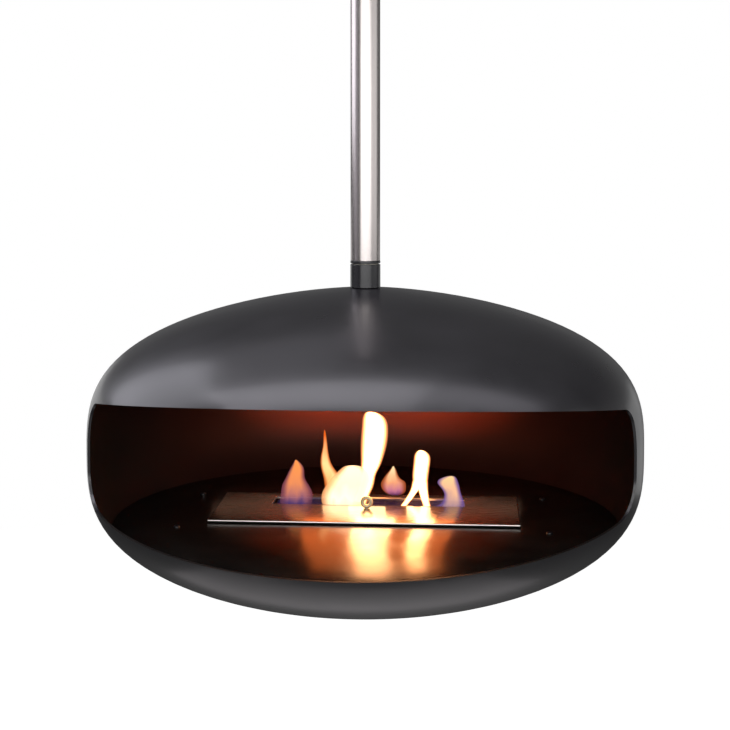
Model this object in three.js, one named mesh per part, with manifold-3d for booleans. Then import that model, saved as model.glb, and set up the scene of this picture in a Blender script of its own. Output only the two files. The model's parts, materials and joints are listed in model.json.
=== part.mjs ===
// A hanging fireplace: a swivelling steel pod on a ceiling pole, with a flat hearth and an
// ethanol burner whose lid slides to regulate and put out the flame.
//
// Millimetres, +Z up. The origin is the centre of the ceiling plate's top face, where the
// fireplace is fixed, and the mouth of the pod faces -Y.

import * as THREE from 'three';
import { mergeVertices } from 'three/addons/utils/BufferGeometryUtils.js';
import Module from 'manifold-3d';

const wasm = await Module();
wasm.setup();

// ---------------------------------------------------------------- driving dimensions

// Clearances between pieces
const seatGap = 0.3;              // between two pieces that rest on each other or are welded
const runningGap = 0.5;           // between two pieces that turn or slide past each other
const holeClearance = 0.3;        // round a shank, on the radius
const cutMargin = 1;              // how far a cutting shape runs past the piece it cuts

// Facets round the turned pieces
const shellFacets = 56;
const roundFacets = 24;
const boltFacets = 16;

// Hanging pole
const equatorDrop = 880;          // from the ceiling down to the pod's widest line
const poleDiameter = 50.8;
const poleWall = 2;

// Ceiling plate, with a spigot that carries the pole
const plateDiameter = 120;
const plateThickness = 6;
const fixingHole = 9;
const fixingInset = 14;           // from the plate's edge in to the middle of each hole
const spigotLength = 55;
const spigotWall = 4;
const crossBoltSize = 8;
const crossBoltAcross = 13;       // across the flats of its head and nut
const crossBoltHead = 5.3;
const crossNutHeight = 6.5;
const crossBoltEnd = 3;           // thread left past the nut
const crossBoltDrop = 30;         // from the ceiling to the bolt through pole and spigot

// Ceiling cover, a cup that slides on the pole
const coverClearance = 3;         // round the ceiling plate
const coverWall = 1.5;
const coverDepth = 48;
const coverNeckWall = 6;
const coverNeckLength = 13;
const grubScrewSize = 5;

// Pod, a flattened round body of sheet steel
const podRadius = 475;
const podHalfHeight = 269.5;
const podWall = 4;
const podFullness = 3.1;          // power on the height: fuller at the widest line than an oval
const podRounding = 1.57;         // power on the radius: rounder at top and bottom than a cone
const podRows = 10;               // facets from the widest line to the top

// Mouth of the pod, cut straight across; this is its outline seen from the side
const mouthBack = 158;            // how far in front of the axis the mouth starts
const mouthTop = 89;              // height of the upper edge there
const mouthSill = 56;             // height of the lower edge there above the hearth
const mouthFlare = 8;             // degrees by which the two edges spread towards the front
const mouthTopCorner = 26;
const mouthBottomCorner = 58;

// Swivel between the pole and the pod
const collarProud = 0.5;          // how far the collar stands out past the pole
const collarLength = 40;
const endFlangeThickness = 4.5;
const collarGroove = 1.8;         // slot between the end flange and the collar
const slipWasherInset = 3.4;      // from the collar's side in to the washer's edge
const plugDepth = 30;             // how far the pole plug goes up inside the pole
const spindleDiameter = 20;
const hubDiameter = 150;
const hubThickness = 6;
const hubBossDiameter = 62;
const hubBossLength = 18;
const raceDiameter = 42;
const raceThickness = 4;
const ballCageDiameter = 38;
const ballCageThickness = 3.2;
const spindleWasherDiameter = 44;
const spindleWasherThickness = 3;
const spindleNutWidth = 30;
const spindleNutHeight = 14;
const spindleLocknutHeight = 9;
const spindleEnd = 3;             // thread left below the locknut

// Hearth plate and its brackets
const hearthRise = 138.5;         // from the bottom of the pod up to the hearth's top face
const hearthThickness = 3;
const hearthScrewSize = 6;
const hearthScrewHead = 11;
const hearthScrewHeadHeight = 3;
const hearthScrewLength = 14;
const hearthScrewOffset = 46;     // from the burner plate's ends out to the screws
const hearthScrewSpacing = 248;   // from the front pair to the back pair
const hearthScrewAdvance = 13;    // how far in front of the burner's middle they centre
const bracketWidth = 40;
const bracketFlange = 30;
const bracketThickness = 3;

// Burner, which drops into the hearth
const burnerOffset = 43;          // its centre lies this far behind the pod's axis
const burnerLength = 534;
const burnerDepth = 211;
const burnerPlateThickness = 4;
const burnerLift = 2;             // shadow gap between the hearth and the burner plate
const padLength = 24;
const padWidth = 10;
const slotLength = 342;
const slotDepth = 59;
const slotBackMargin = 26.5;      // from the slot to the plate's back edge
const tankEndSpace = 16.5;        // inside the tank, past the rails
const tankSideSpace = 2.5;        // inside the tank, past the lid's travel
const tankHeight = 66;
const tankWall = 1.5;
const wickClearance = 3;
const wickDrop = 14;              // from the plate's underside to the wick's top
const trayClearance = 4;          // between the tank and the spill tray round it
const trayWall = 1.2;
const trayFlange = 12;
const trayFloorSpace = 8;         // under the tank

// Regulator: a lid that slides under the burner plate, and its ring pull
const lidThickness = 2.5;
const lidOverlap = 9;             // past each end of the slot
const lidBackOverlap = 3;         // past the slot's back edge when shut
const lidFrontOverlap = 4;        // past the pull's notch when shut
const pullSetback = 30;           // from the slot's front edge forward to the pull
const notchClearance = 0.8;       // each side of the pull's stud
const ringDiameter = 22;
const ringEye = 8.6;
const ringSink = 0.5;             // how deep the ring sits in its foot
const pullStud = 5;
const pullFootDiameter = 12;
const pullFootHeight = 1.2;
const pullNutWidth = 8;
const pullNutHeight = 4;
const pullStudEnd = 1.5;          // thread left below the nut
const railSheet = 1.5;
const railFlange = 15;
const railLedge = 9;              // under the lid's end
const railScrewSize = 4;
const railScrewHead = 7;
const railScrewHeadHeight = 2.5;
const railScrewDepth = 2.5;       // into the burner plate
const railScrewSpacing = 120;

// Sizes that follow from them
const collarDiameter = poleDiameter + 2 * collarProud;
const hearthDrop = podHalfHeight - hearthRise;
const mouthBottom = hearthDrop - mouthSill;
const slotBack = burnerDepth / 2 - slotBackMargin;
const slotFront = slotBack - slotDepth;
const notchWidth = pullStud + 2 * notchClearance;
const pullPlace = slotFront - pullSetback;
const notchFront = pullPlace - notchWidth / 2;
const lidStroke = slotDepth + lidBackOverlap;
const lidFront = notchFront - lidFrontOverlap - lidStroke;
const railOuter = slotLength / 2 + lidOverlap + runningGap + railSheet;
const tankHalfLength = railOuter + railFlange + tankEndSpace + tankWall;
const tankHalfWidth = Math.max(-lidFront, slotBack + lidBackOverlap) + tankSideSpace + tankWall;
const trayHalfLength = tankHalfLength + trayClearance;
const trayHalfWidth = tankHalfWidth + trayClearance;
const hearthScrewX = burnerLength / 2 + hearthScrewOffset;

// ---------------------------------------------------------------- materials

const satinBlack = new THREE.MeshStandardMaterial({ color: 0x2b2b2e, roughness: 0.5, metalness: 0.3 });
const hearthBlack = new THREE.MeshStandardMaterial({ color: 0x151515, roughness: 0.35, metalness: 0.2 });
const brushedSteel = new THREE.MeshStandardMaterial({ color: 0xb9b6b4, roughness: 0.35, metalness: 1 });
const plainSteel = new THREE.MeshStandardMaterial({ color: 0x8c8d90, roughness: 0.45, metalness: 1 });
const bearingSteel = new THREE.MeshStandardMaterial({ color: 0xa8a9ad, roughness: 0.25, metalness: 1 });
const slipPlastic = new THREE.MeshStandardMaterial({ color: 0xe4e2dc, roughness: 0.6, metalness: 0 });
const ceramicWool = new THREE.MeshStandardMaterial({ color: 0xe9e6df, roughness: 0.95, metalness: 0 });
const gasketBlack = new THREE.MeshStandardMaterial({ color: 0x1b1b1b, roughness: 0.8, metalness: 0 });

// ---------------------------------------------------------------- shape helpers

/** Turns a closed three.js geometry into a solid that can be joined and cut. */
function solid(geometry) {
  const bare = geometry.clone();
  bare.deleteAttribute('normal');
  bare.deleteAttribute('uv');
  const merged = mergeVertices(bare, 1e-4);
  const vertProperties = new Float32Array(merged.attributes.position.array);
  const triVerts = dropSlivers(merged.index.array);
  if (signedVolume(vertProperties, triVerts) < 0) {
    for (let i = 0; i < triVerts.length; i += 3) {
      [triVerts[i], triVerts[i + 1]] = [triVerts[i + 1], triVerts[i]];
    }
  }
  return new wasm.Manifold(new wasm.Mesh({ numProp: 3, vertProperties, triVerts }));
}

/** Leaves out triangles that have two corners at one vertex, as at the poles of a lathe. */
function dropSlivers(index) {
  const kept = [];
  for (let i = 0; i < index.length; i += 3) {
    const [a, b, c] = [index[i], index[i + 1], index[i + 2]];
    if (a !== b && b !== c && c !== a) kept.push(a, b, c);
  }
  return new Uint32Array(kept);
}

function signedVolume(points, triangles) {
  const corner = (i) => new THREE.Vector3().fromArray(points, 3 * i);
  let sum = 0;
  for (let i = 0; i < triangles.length; i += 3) {
    const [a, b, c] = [0, 1, 2].map((k) => corner(triangles[i + k]));
    sum += a.dot(b.cross(c)) / 6;
  }
  return sum;
}

function geometryOf(body) {
  const mesh = body.getMesh();
  const geometry = new THREE.BufferGeometry();
  geometry.setAttribute('position', new THREE.BufferAttribute(new Float32Array(mesh.vertProperties), 3));
  geometry.setIndex(new THREE.BufferAttribute(new Uint32Array(mesh.triVerts), 1));
  geometry.computeVertexNormals();
  return geometry;
}

/** One named piece of the fireplace. */
function piece(name, body, material) {
  const mesh = new THREE.Mesh(geometryOf(body), material);
  mesh.name = name;
  return mesh;
}

/** A solid turned about Z; the profile is a list of [radius, height], closed or on the axis. */
function turned(profile, facets = roundFacets) {
  const points = profile.map(([radius, height]) => new THREE.Vector2(radius, height));
  return solid(new THREE.LatheGeometry(points, facets).rotateX(Math.PI / 2));
}

function disc(radius, bottom, top, facets = roundFacets) {
  return turned([[0, bottom], [radius, bottom], [radius, top], [0, top]], facets);
}

function ring(outer, inner, bottom, top, facets = roundFacets) {
  return turned([[inner, bottom], [outer, bottom], [outer, top], [inner, top], [inner, bottom]], facets);
}

function block(low, high) {
  const size = high.map((value, axis) => value - low[axis]);
  const geometry = new THREE.BoxGeometry(...size);
  return solid(geometry.translate(...low.map((value, axis) => value + size[axis] / 2)));
}

/** A hexagonal nut or bolt head, with its flats along X, `across` wide. */
function hexagon(across, bottom, top) {
  return disc(across / Math.sqrt(3), bottom, top, 6);
}

/** Extrudes an outline of [y, z] points along X. */
function alongX(outline, from, to) {
  const settings = { depth: to - from, bevelEnabled: false, curveSegments: 8 };
  const geometry = new THREE.ExtrudeGeometry(outline, settings);
  const turn = new THREE.Matrix4().makeBasis(
    new THREE.Vector3(0, 1, 0),
    new THREE.Vector3(0, 0, 1),
    new THREE.Vector3(1, 0, 0),
  );
  return solid(geometry.applyMatrix4(turn).translate(from, 0, 0));
}

function polygon(points) {
  return new THREE.Shape(points.map(([x, y]) => new THREE.Vector2(x, y)));
}

/** Lays a solid that was built about Z along the Y axis instead, its top end at -Y. */
function layAlongY(body) {
  return body.rotate([90, 0, 0]);
}

// ---------------------------------------------------------------- ceiling plate, pole, cover

function ceilingPlate() {
  const spigotRadius = poleDiameter / 2 - poleWall - seatGap;
  const flange = disc(plateDiameter / 2, -plateThickness, 0, roundFacets);
  const spigot = ring(
    spigotRadius,
    spigotRadius - spigotWall,
    -plateThickness - spigotLength,
    -plateThickness / 2,
  );
  let body = flange.add(spigot).subtract(crossHole());
  const hole = disc(fixingHole / 2, -plateThickness - cutMargin, cutMargin, boltFacets);
  for (let corner = 0; corner < 4; corner += 1) {
    const turn = Math.PI / 4 + (corner * Math.PI) / 2;
    const reach = plateDiameter / 2 - fixingInset;
    const place = [reach * Math.cos(turn), reach * Math.sin(turn), 0];
    body = body.subtract(hole.translate(place));
  }
  return piece('ceiling_plate', body, plainSteel);
}

/** The hole for the cross bolt, right through pole and spigot along Y. */
function crossHole() {
  const radius = crossBoltSize / 2 + holeClearance;
  return layAlongY(disc(radius, -poleDiameter, poleDiameter, boltFacets)).translate([0, 0, -crossBoltDrop]);
}

/** Height of the lower end of the pole, from the ceiling. */
const poleEnd = -equatorDrop + podHalfHeight + collarLength + collarGroove + endFlangeThickness;

function pole() {
  const tube = ring(
    poleDiameter / 2,
    poleDiameter / 2 - poleWall,
    poleEnd + seatGap,
    -plateThickness - seatGap,
  );
  return piece('pole', tube.subtract(crossHole()), brushedSteel);
}

function crossBolt() {
  const seat = poleDiameter / 2 + seatGap;
  const end = -seat - crossNutHeight - crossBoltEnd;
  const shank = disc(crossBoltSize / 2, end, seat + crossBoltHead / 2, boltFacets);
  const head = hexagon(crossBoltAcross, seat, seat + crossBoltHead);
  return piece('pole_cross_bolt', layAlongY(shank.add(head)).translate([0, 0, -crossBoltDrop]), plainSteel);
}

function crossNut() {
  const seat = poleDiameter / 2 + seatGap;
  const under = -seat - crossNutHeight;
  const nut = hexagon(crossBoltAcross, under, -seat);
  const bore = disc(crossBoltSize / 2 + seatGap, under - cutMargin, cutMargin - seat, boltFacets);
  return piece('pole_cross_nut', layAlongY(nut.subtract(bore)).translate([0, 0, -crossBoltDrop]), plainSteel);
}

/** The cover stands this far below the ceiling. */
const coverTop = -seatGap;
const coverBottom = coverTop - coverDepth;

function ceilingCover() {
  const outer = plateDiameter / 2 + coverClearance + coverWall;
  const bore = poleDiameter / 2 + runningGap;
  const cup = turned([
    [bore, coverBottom - coverNeckLength],
    [bore + coverNeckWall, coverBottom - coverNeckLength],
    [bore + coverNeckWall, coverBottom],
    [outer, coverBottom],
    [outer, coverTop],
    [outer - coverWall, coverTop],
    [outer - coverWall, coverBottom + coverWall],
    [bore, coverBottom + coverWall],
    [bore, coverBottom - coverNeckLength],
  ]);
  const tapping = layAlongY(disc(grubScrewSize / 2 + holeClearance, -2 * bore, 0, boltFacets));
  return piece('ceiling_cover', cup.subtract(tapping.translate([0, 0, grubScrewHeight])), brushedSteel);
}

const grubScrewHeight = coverBottom - coverNeckLength / 2;

function coverScrew() {
  const tip = poleDiameter / 2 + seatGap;
  const screw = disc(grubScrewSize / 2, -tip - coverNeckWall, -tip, boltFacets);
  return piece('cover_grub_screw', layAlongY(screw).translate([0, 0, grubScrewHeight]), plainSteel);
}

// ---------------------------------------------------------------- swivel, about the pod's centre

const flangeTop = podHalfHeight + collarLength + collarGroove + endFlangeThickness;
const collarTop = podHalfHeight + collarLength;
const hubTop = hubSeat();
const hubBottom = hubTop - hubThickness - hubBossLength;
const upperRaceBottom = hubBottom - seatGap - raceThickness;
const cageBottom = upperRaceBottom - seatGap - ballCageThickness;
const lowerRaceBottom = cageBottom - seatGap - raceThickness;
const washerBottom = lowerRaceBottom - seatGap - spindleWasherThickness;
const nutBottom = washerBottom - seatGap - spindleNutHeight;
const locknutBottom = nutBottom - seatGap - spindleLocknutHeight;
const spindleBore = spindleDiameter / 2 + runningGap;

/** Where the hub's top face meets the dome's inner wall at the hub's rim. */
function hubSeat() {
  return wallHeight(hubDiameter / 2, podWall + seatGap);
}

function polePlug() {
  const plugRadius = poleDiameter / 2 - poleWall - seatGap;
  const body = turned([
    [0, locknutBottom - spindleEnd],
    [spindleDiameter / 2, locknutBottom - spindleEnd],
    [spindleDiameter / 2, flangeTop - endFlangeThickness],
    [collarDiameter / 2, flangeTop - endFlangeThickness],
    [collarDiameter / 2, flangeTop],
    [plugRadius, flangeTop],
    [plugRadius, flangeTop + plugDepth],
    [0, flangeTop + plugDepth],
  ]);
  return piece('pole_plug_spindle', body, satinBlack);
}

function slipWasher() {
  const top = flangeTop - endFlangeThickness - seatGap;
  const radius = collarDiameter / 2 - slipWasherInset;
  return piece('slip_washer', ring(radius, spindleBore, collarTop + seatGap, top), slipPlastic);
}

function swivelCollar() {
  const seat = podHalfHeight + seatGap;
  return piece('swivel_collar', ring(collarDiameter / 2, spindleBore, seat, collarTop), satinBlack);
}

function hub() {
  const rim = ring(hubDiameter / 2, spindleBore, hubTop - hubThickness, hubTop);
  const boss = ring(hubBossDiameter / 2, spindleBore, hubBottom, hubTop - hubThickness / 2);
  return piece('swivel_hub', rim.add(boss), plainSteel);
}

function upperRace() {
  const body = ring(raceDiameter / 2, spindleBore, upperRaceBottom, upperRaceBottom + raceThickness);
  return piece('bearing_upper_race', body, bearingSteel);
}

function ballCage() {
  const body = ring(ballCageDiameter / 2, spindleBore + 1, cageBottom, cageBottom + ballCageThickness);
  return piece('bearing_ball_cage', body, bearingSteel);
}

function lowerRace() {
  const bore = spindleDiameter / 2 + seatGap;
  const body = ring(raceDiameter / 2, bore, lowerRaceBottom, lowerRaceBottom + raceThickness);
  return piece('bearing_lower_race', body, bearingSteel);
}

function spindleWasher() {
  const bore = spindleDiameter / 2 + seatGap;
  const body = ring(spindleWasherDiameter / 2, bore, washerBottom, washerBottom + spindleWasherThickness);
  return piece('spindle_washer', body, plainSteel);
}

function spindleNut(name, bottom, height) {
  const bore = disc(spindleDiameter / 2 + seatGap, bottom - cutMargin, bottom + height + cutMargin);
  return piece(name, hexagon(spindleNutWidth, bottom, bottom + height).subtract(bore), plainSteel);
}

// ---------------------------------------------------------------- pod

/** Points [radius, height] of the upper wall, from the widest line to the top, set in by `inset`. */
function wallRows(inset) {
  const radius = podRadius - inset;
  const halfHeight = podHalfHeight - inset;
  const rows = [];
  for (let row = 0; row <= podRows; row += 1) {
    const share = Math.sin((row / podRows) * (Math.PI / 2));
    const rest = Math.max(0, 1 - share ** podFullness);
    rows.push([radius * rest ** (1 / podRounding), halfHeight * share]);
  }
  rows[podRows] = [0, halfHeight];
  return rows;
}

/** Height of the upper wall at a radius, measured on its facets. */
function wallHeight(radius, inset) {
  const rows = wallRows(inset);
  const next = rows.findIndex(([reach]) => reach <= radius);
  const [outer, inner] = [rows[next - 1], rows[next]];
  const share = (outer[0] - radius) / (outer[0] - inner[0]);
  return outer[1] + share * (inner[1] - outer[1]);
}

/** Radius of the wall at a height above or below the widest line, measured on its facets. */
function wallRadius(height, inset) {
  const rows = wallRows(inset);
  const next = rows.findIndex(([, level]) => level >= Math.abs(height));
  const [below, above] = [rows[next - 1], rows[next]];
  const share = (Math.abs(height) - below[1]) / (above[1] - below[1]);
  return below[0] + share * (above[0] - below[0]);
}

/** The upper half of the pod's wall as a solid shell. */
function halfShell() {
  const outer = wallRows(0);
  const inner = wallRows(podWall).reverse();
  return turned([...outer, ...inner, outer[0]], shellFacets);
}

/** The space inside the pod, kept `gap` off the wall. */
function podCore(gap) {
  const upper = wallRows(podWall + gap);
  const lower = upper.slice(1).reverse().map(([radius, height]) => [radius, -height]);
  return turned([...lower, ...upper], shellFacets);
}

/** The mouth, as a prism across the whole pod; its outline has [y, z] points and round corners. */
function mouthCutter() {
  const reach = podRadius + 20;
  const rise = Math.tan(THREE.MathUtils.degToRad(mouthFlare)) * (reach - mouthBack);
  const outline = new THREE.Shape();
  const corners = [
    { at: [-reach, -mouthBottom - rise], round: 0 },
    { at: [-mouthBack, -mouthBottom], round: mouthBottomCorner },
    { at: [-mouthBack, mouthTop], round: mouthTopCorner },
    { at: [-reach, mouthTop + rise], round: 0 },
  ];
  corners.forEach(({ at, round }, index) => {
    const here = new THREE.Vector2(...at);
    const before = new THREE.Vector2(...corners[(index + 3) % 4].at);
    const after = new THREE.Vector2(...corners[(index + 1) % 4].at);
    const inward = before.sub(here).normalize();
    const outward = after.sub(here).normalize();
    const half = Math.acos(inward.dot(outward)) / 2;
    const back = round / Math.tan(half);
    const start = here.clone().addScaledVector(inward, back);
    const end = here.clone().addScaledVector(outward, back);
    if (index === 0) outline.moveTo(start.x, start.y);
    else outline.lineTo(start.x, start.y);
    if (round > 0) outline.quadraticCurveTo(here.x, here.y, end.x, end.y);
  });
  return alongX(outline, -reach, reach);
}

function upperDome() {
  const bore = disc(spindleBore, 0, podHalfHeight + cutMargin);
  const body = halfShell().subtract(bore).subtract(mouthCutter());
  return piece('upper_dome', body, satinBlack);
}

function lowerBowl() {
  const body = halfShell().mirror([0, 0, 1]).translate([0, 0, -seatGap]);
  return piece('lower_bowl', body.subtract(mouthCutter()), satinBlack);
}

// ---------------------------------------------------------------- hearth

const hearthBottom = -hearthDrop - hearthThickness;
const tankBottom = burnerLift - seatGap - tankHeight - hearthDrop;
const screwRowCentre = burnerOffset - hearthScrewAdvance;
const screwPlaces = [[-1, -1], [1, -1], [1, 1], [-1, 1]].map(([side, end]) => (
  [side * hearthScrewX, screwRowCentre + (end * hearthScrewSpacing) / 2]
));

function screwHole(bottom, top) {
  return disc(hearthScrewSize / 2 + holeClearance, bottom - cutMargin, top + cutMargin, boltFacets);
}

function hearthPlate() {
  const radius = wallRadius(hearthBottom - seatGap, podWall + seatGap);
  let body = disc(radius, hearthBottom, -hearthDrop, shellFacets).subtract(block(
    [-trayHalfLength, burnerOffset - trayHalfWidth, hearthBottom - cutMargin],
    [trayHalfLength, burnerOffset + trayHalfWidth, -hearthDrop + cutMargin],
  ));
  const hole = screwHole(hearthBottom, -hearthDrop);
  for (const [x, y] of screwPlaces) body = body.subtract(hole.translate([x, y, 0]));
  return piece('hearth_plate', body, hearthBlack);
}

/** An angle bracket under one hearth screw, with its foot shaped to the bowl. */
function hearthBracket(number, [x, y]) {
  const side = Math.sign(x);
  const top = hearthBottom - seatGap;
  const leafOuter = x + side * (bracketFlange / 2);
  const leafInner = leafOuter - side * bracketThickness;
  const flangeInner = leafOuter - side * bracketFlange;
  const sorted = (a, b) => [Math.min(a, b), Math.max(a, b)];
  const [flangeLow, flangeHigh] = sorted(flangeInner, leafOuter);
  const [leafLow, leafHigh] = sorted(leafInner, leafOuter);
  const back = y - bracketWidth / 2;
  const front = y + bracketWidth / 2;
  const flange = block([flangeLow, back, top - bracketThickness], [flangeHigh, front, top]);
  const leaf = block([leafLow, back, -podHalfHeight], [leafHigh, front, top]);
  const hole = screwHole(top - bracketThickness, top);
  const body = flange.add(leaf).intersect(podCore(seatGap)).subtract(hole.translate([x, y, 0]));
  return piece(`hearth_bracket_${number}`, body, plainSteel);
}

function hearthScrew(number, [x, y]) {
  const seat = -hearthDrop + seatGap;
  const head = turned([
    [0, seat],
    [hearthScrewHead / 2, seat],
    [hearthScrewHead / 2, seat + hearthScrewHeadHeight / 2],
    [hearthScrewSize / 2, seat + hearthScrewHeadHeight],
    [0, seat + hearthScrewHeadHeight],
  ], boltFacets);
  const middle = seat + hearthScrewHeadHeight / 2;
  const shank = disc(hearthScrewSize / 2, seat - hearthScrewLength, middle, boltFacets);
  return piece(`hearth_screw_${number}`, head.add(shank).translate([x, y, 0]), satinBlack);
}

function spillTray() {
  const top = hearthBottom - seatGap;
  const floor = tankBottom - trayFloorSpace;
  const [halfLength, halfWidth] = [trayHalfLength, trayHalfWidth];
  const reach = trayWall + trayFlange;
  const flange = block(
    [-halfLength - reach, -halfWidth - reach, top - trayWall],
    [halfLength + reach, halfWidth + reach, top],
  );
  const outside = block(
    [-halfLength - trayWall, -halfWidth - trayWall, floor - trayWall],
    [halfLength + trayWall, halfWidth + trayWall, top],
  );
  const inside = block([-halfLength, -halfWidth, floor], [halfLength, halfWidth, top + cutMargin]);
  const body = flange.add(outside).subtract(inside).translate([0, burnerOffset, 0]);
  return piece('spill_tray', body, plainSteel);
}

// ---------------------------------------------------------------- burner, from its plate's underside

const railFront = -tankHalfWidth + tankWall + seatGap;
const ledgeTop = -runningGap - lidThickness - seatGap;
const railScrewPlaces = [-1, 1].flatMap((side) => (
  [-1, 1].map((end) => [side * (railOuter + railFlange / 2), (end * railScrewSpacing) / 2])
));

function burnerPlate() {
  const half = [burnerLength / 2, burnerDepth / 2];
  const top = burnerPlateThickness;
  let body = block([-half[0], -half[1], 0], [half[0], half[1], top]);
  const [low, high] = [-cutMargin, top + cutMargin];
  const middle = (slotFront + slotBack) / 2;
  body = body.subtract(block([-slotLength / 2, slotFront, low], [slotLength / 2, slotBack, high]));
  body = body.subtract(block([-notchWidth / 2, notchFront, low], [notchWidth / 2, middle, high]));
  const tapping = disc(railScrewSize / 2 + holeClearance, low, railScrewDepth + seatGap, boltFacets);
  for (const [x, y] of railScrewPlaces) body = body.subtract(tapping.translate([x, y, 0]));
  return piece('burner_plate', body, brushedSteel);
}

function burnerPad(number, side, end) {
  const x = side * (burnerLength / 2 - padLength);
  const y = end * (burnerDepth / 2 - padWidth);
  const low = [x - padLength / 2, y - padWidth / 2, -burnerLift + seatGap];
  const high = [x + padLength / 2, y + padWidth / 2, -seatGap];
  return piece(`burner_pad_${number}`, block(low, high), gasketBlack);
}

function fuelTank() {
  const half = [tankHalfLength, tankHalfWidth];
  const top = -seatGap;
  const outside = block([-half[0], -half[1], top - tankHeight], [half[0], half[1], top]);
  const inside = block(
    [-half[0] + tankWall, -half[1] + tankWall, top - tankHeight + tankWall],
    [half[0] - tankWall, half[1] - tankWall, top + cutMargin],
  );
  return piece('fuel_tank', outside.subtract(inside), brushedSteel);
}

function wickBlock() {
  const inset = tankWall + wickClearance;
  const half = [tankHalfLength - inset, tankHalfWidth - inset];
  const bottom = -tankHeight + tankWall;
  const body = block([-half[0], -half[1], bottom], [half[0], half[1], -wickDrop]);
  return piece('ceramic_wick', body, ceramicWool);
}

/** A folded rail under one end of the lid: a flange on the plate, a web and a ledge. */
function lidRail(name, side) {
  const web = railOuter - railSheet;
  const section = polygon([
    [web + railSheet + railFlange, -seatGap],
    [web, -seatGap],
    [web, ledgeTop],
    [web - railLedge, ledgeTop],
    [web - railLedge, ledgeTop - railSheet],
    [web + railSheet, ledgeTop - railSheet],
    [web + railSheet, -seatGap - railSheet],
    [web + railSheet + railFlange, -seatGap - railSheet],
  ]);
  const length = -2 * railFront;
  const geometry = new THREE.ExtrudeGeometry(section, { depth: length, bevelEnabled: false });
  let body = solid(geometry.rotateX(Math.PI / 2).translate(0, length / 2, 0));
  if (side < 0) body = body.mirror([1, 0, 0]);
  const hole = disc(railScrewSize / 2 + holeClearance, -2 * railSheet, cutMargin, boltFacets);
  for (const [x, y] of railScrewPlaces) body = body.subtract(hole.translate([x, y, 0]));
  return piece(name, body, brushedSteel);
}

function railScrew(number, [x, y]) {
  const seat = -2 * seatGap - railSheet;
  const head = disc(railScrewHead / 2, seat - railScrewHeadHeight, seat, boltFacets);
  const shank = disc(railScrewSize / 2, seat - railScrewHeadHeight / 2, railScrewDepth, boltFacets);
  return piece(`rail_screw_${number}`, head.add(shank).translate([x, y, 0]), plainSteel);
}

// ---------------------------------------------------------------- regulator

const lidTop = -runningGap;
const lidBottom = lidTop - lidThickness;
const footBottom = burnerPlateThickness + seatGap;
const ringTube = (ringDiameter - ringEye) / 4;
const ringCentre = footBottom + pullFootHeight + seatGap + ringDiameter / 2 - ringSink;

function regulatorLid() {
  const half = slotLength / 2 + lidOverlap;
  const plate = block([-half, lidFront, lidBottom], [half, slotFront, lidTop]);
  const hole = disc(pullStud / 2 + holeClearance, lidBottom - cutMargin, lidTop + cutMargin, boltFacets);
  return piece('regulator_lid', plate.subtract(hole.translate([0, pullPlace, 0])), brushedSteel);
}

/** The ring of the pull, its hole facing the front; `extra` thickens it. */
function ringSolid(extra) {
  const radius = ringDiameter / 2 - ringTube;
  const geometry = new THREE.TorusGeometry(radius, ringTube + extra, 12, 28);
  return solid(geometry.rotateX(Math.PI / 2).translate(0, 0, ringCentre));
}

function ringPull() {
  const end = lidBottom - seatGap - pullNutHeight - pullStudEnd;
  const stud = disc(pullStud / 2, end, ringCentre - ringDiameter / 2 + ringTube, boltFacets);
  return piece('ring_pull', ringSolid(0).add(stud).translate([0, pullPlace, 0]), brushedSteel);
}

/** The foot under the ring, hollowed where the ring sits in it. */
function pullFoot() {
  const foot = ring(pullFootDiameter / 2, pullStud / 2 + seatGap, footBottom, footBottom + pullFootHeight);
  const body = foot.subtract(ringSolid(seatGap));
  return piece('ring_pull_foot', body.translate([0, pullPlace, 0]), brushedSteel);
}

function pullNut() {
  const top = lidBottom - seatGap;
  const bore = disc(pullStud / 2 + seatGap, top - pullNutHeight - cutMargin, top + cutMargin, boltFacets);
  const nut = hexagon(pullNutWidth, top - pullNutHeight, top).subtract(bore);
  return piece('ring_pull_nut', nut.translate([0, pullPlace, 0]), plainSteel);
}

// ---------------------------------------------------------------- assembly

const fireplace = new THREE.Group();
fireplace.add(ceilingPlate(), pole(), crossBolt(), crossNut(), ceilingCover(), coverScrew());

const pod = new THREE.Group();
pod.position.z = -equatorDrop;
pod.add(polePlug(), slipWasher(), swivelCollar(), hub());
pod.add(upperRace(), ballCage(), lowerRace(), spindleWasher());
pod.add(spindleNut('spindle_nut', nutBottom, spindleNutHeight));
pod.add(spindleNut('spindle_locknut', locknutBottom, spindleLocknutHeight));
pod.add(upperDome(), lowerBowl(), hearthPlate(), spillTray());
screwPlaces.forEach((place, index) => {
  pod.add(hearthBracket(index + 1, place), hearthScrew(index + 1, place));
});
fireplace.add(pod);

const burner = new THREE.Group();
burner.position.set(0, burnerOffset, -hearthDrop + burnerLift);
burner.add(burnerPlate(), fuelTank(), wickBlock(), lidRail('lid_rail_left', -1), lidRail('lid_rail_right', 1));
[[-1, -1], [1, -1], [1, 1], [-1, 1]].forEach(([side, end], index) => {
  burner.add(burnerPad(index + 1, side, end));
});
railScrewPlaces.forEach((place, index) => burner.add(railScrew(index + 1, place)));
burner.add(regulatorLid(), ringPull(), pullFoot(), pullNut());
pod.add(burner);

export default fireplace;
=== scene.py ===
"""Hanging fireplace: a swivelling steel pod on a ceiling pole, with a burning ethanol burner.

Metres, +Z up. The origin is the middle of the ceiling plate's top face and the mouth of the
pod faces -Y. Each sub-assembly is a class that builds its fine meshes and dresses the CAD
nodes that keep their own shape.
"""

from __future__ import annotations

import json
import logging
import math
from dataclasses import dataclass
from enum import Enum
from typing import Any, Iterable, Sequence

import bmesh
import bpy
from mathutils import Matrix, Vector, noise

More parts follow.
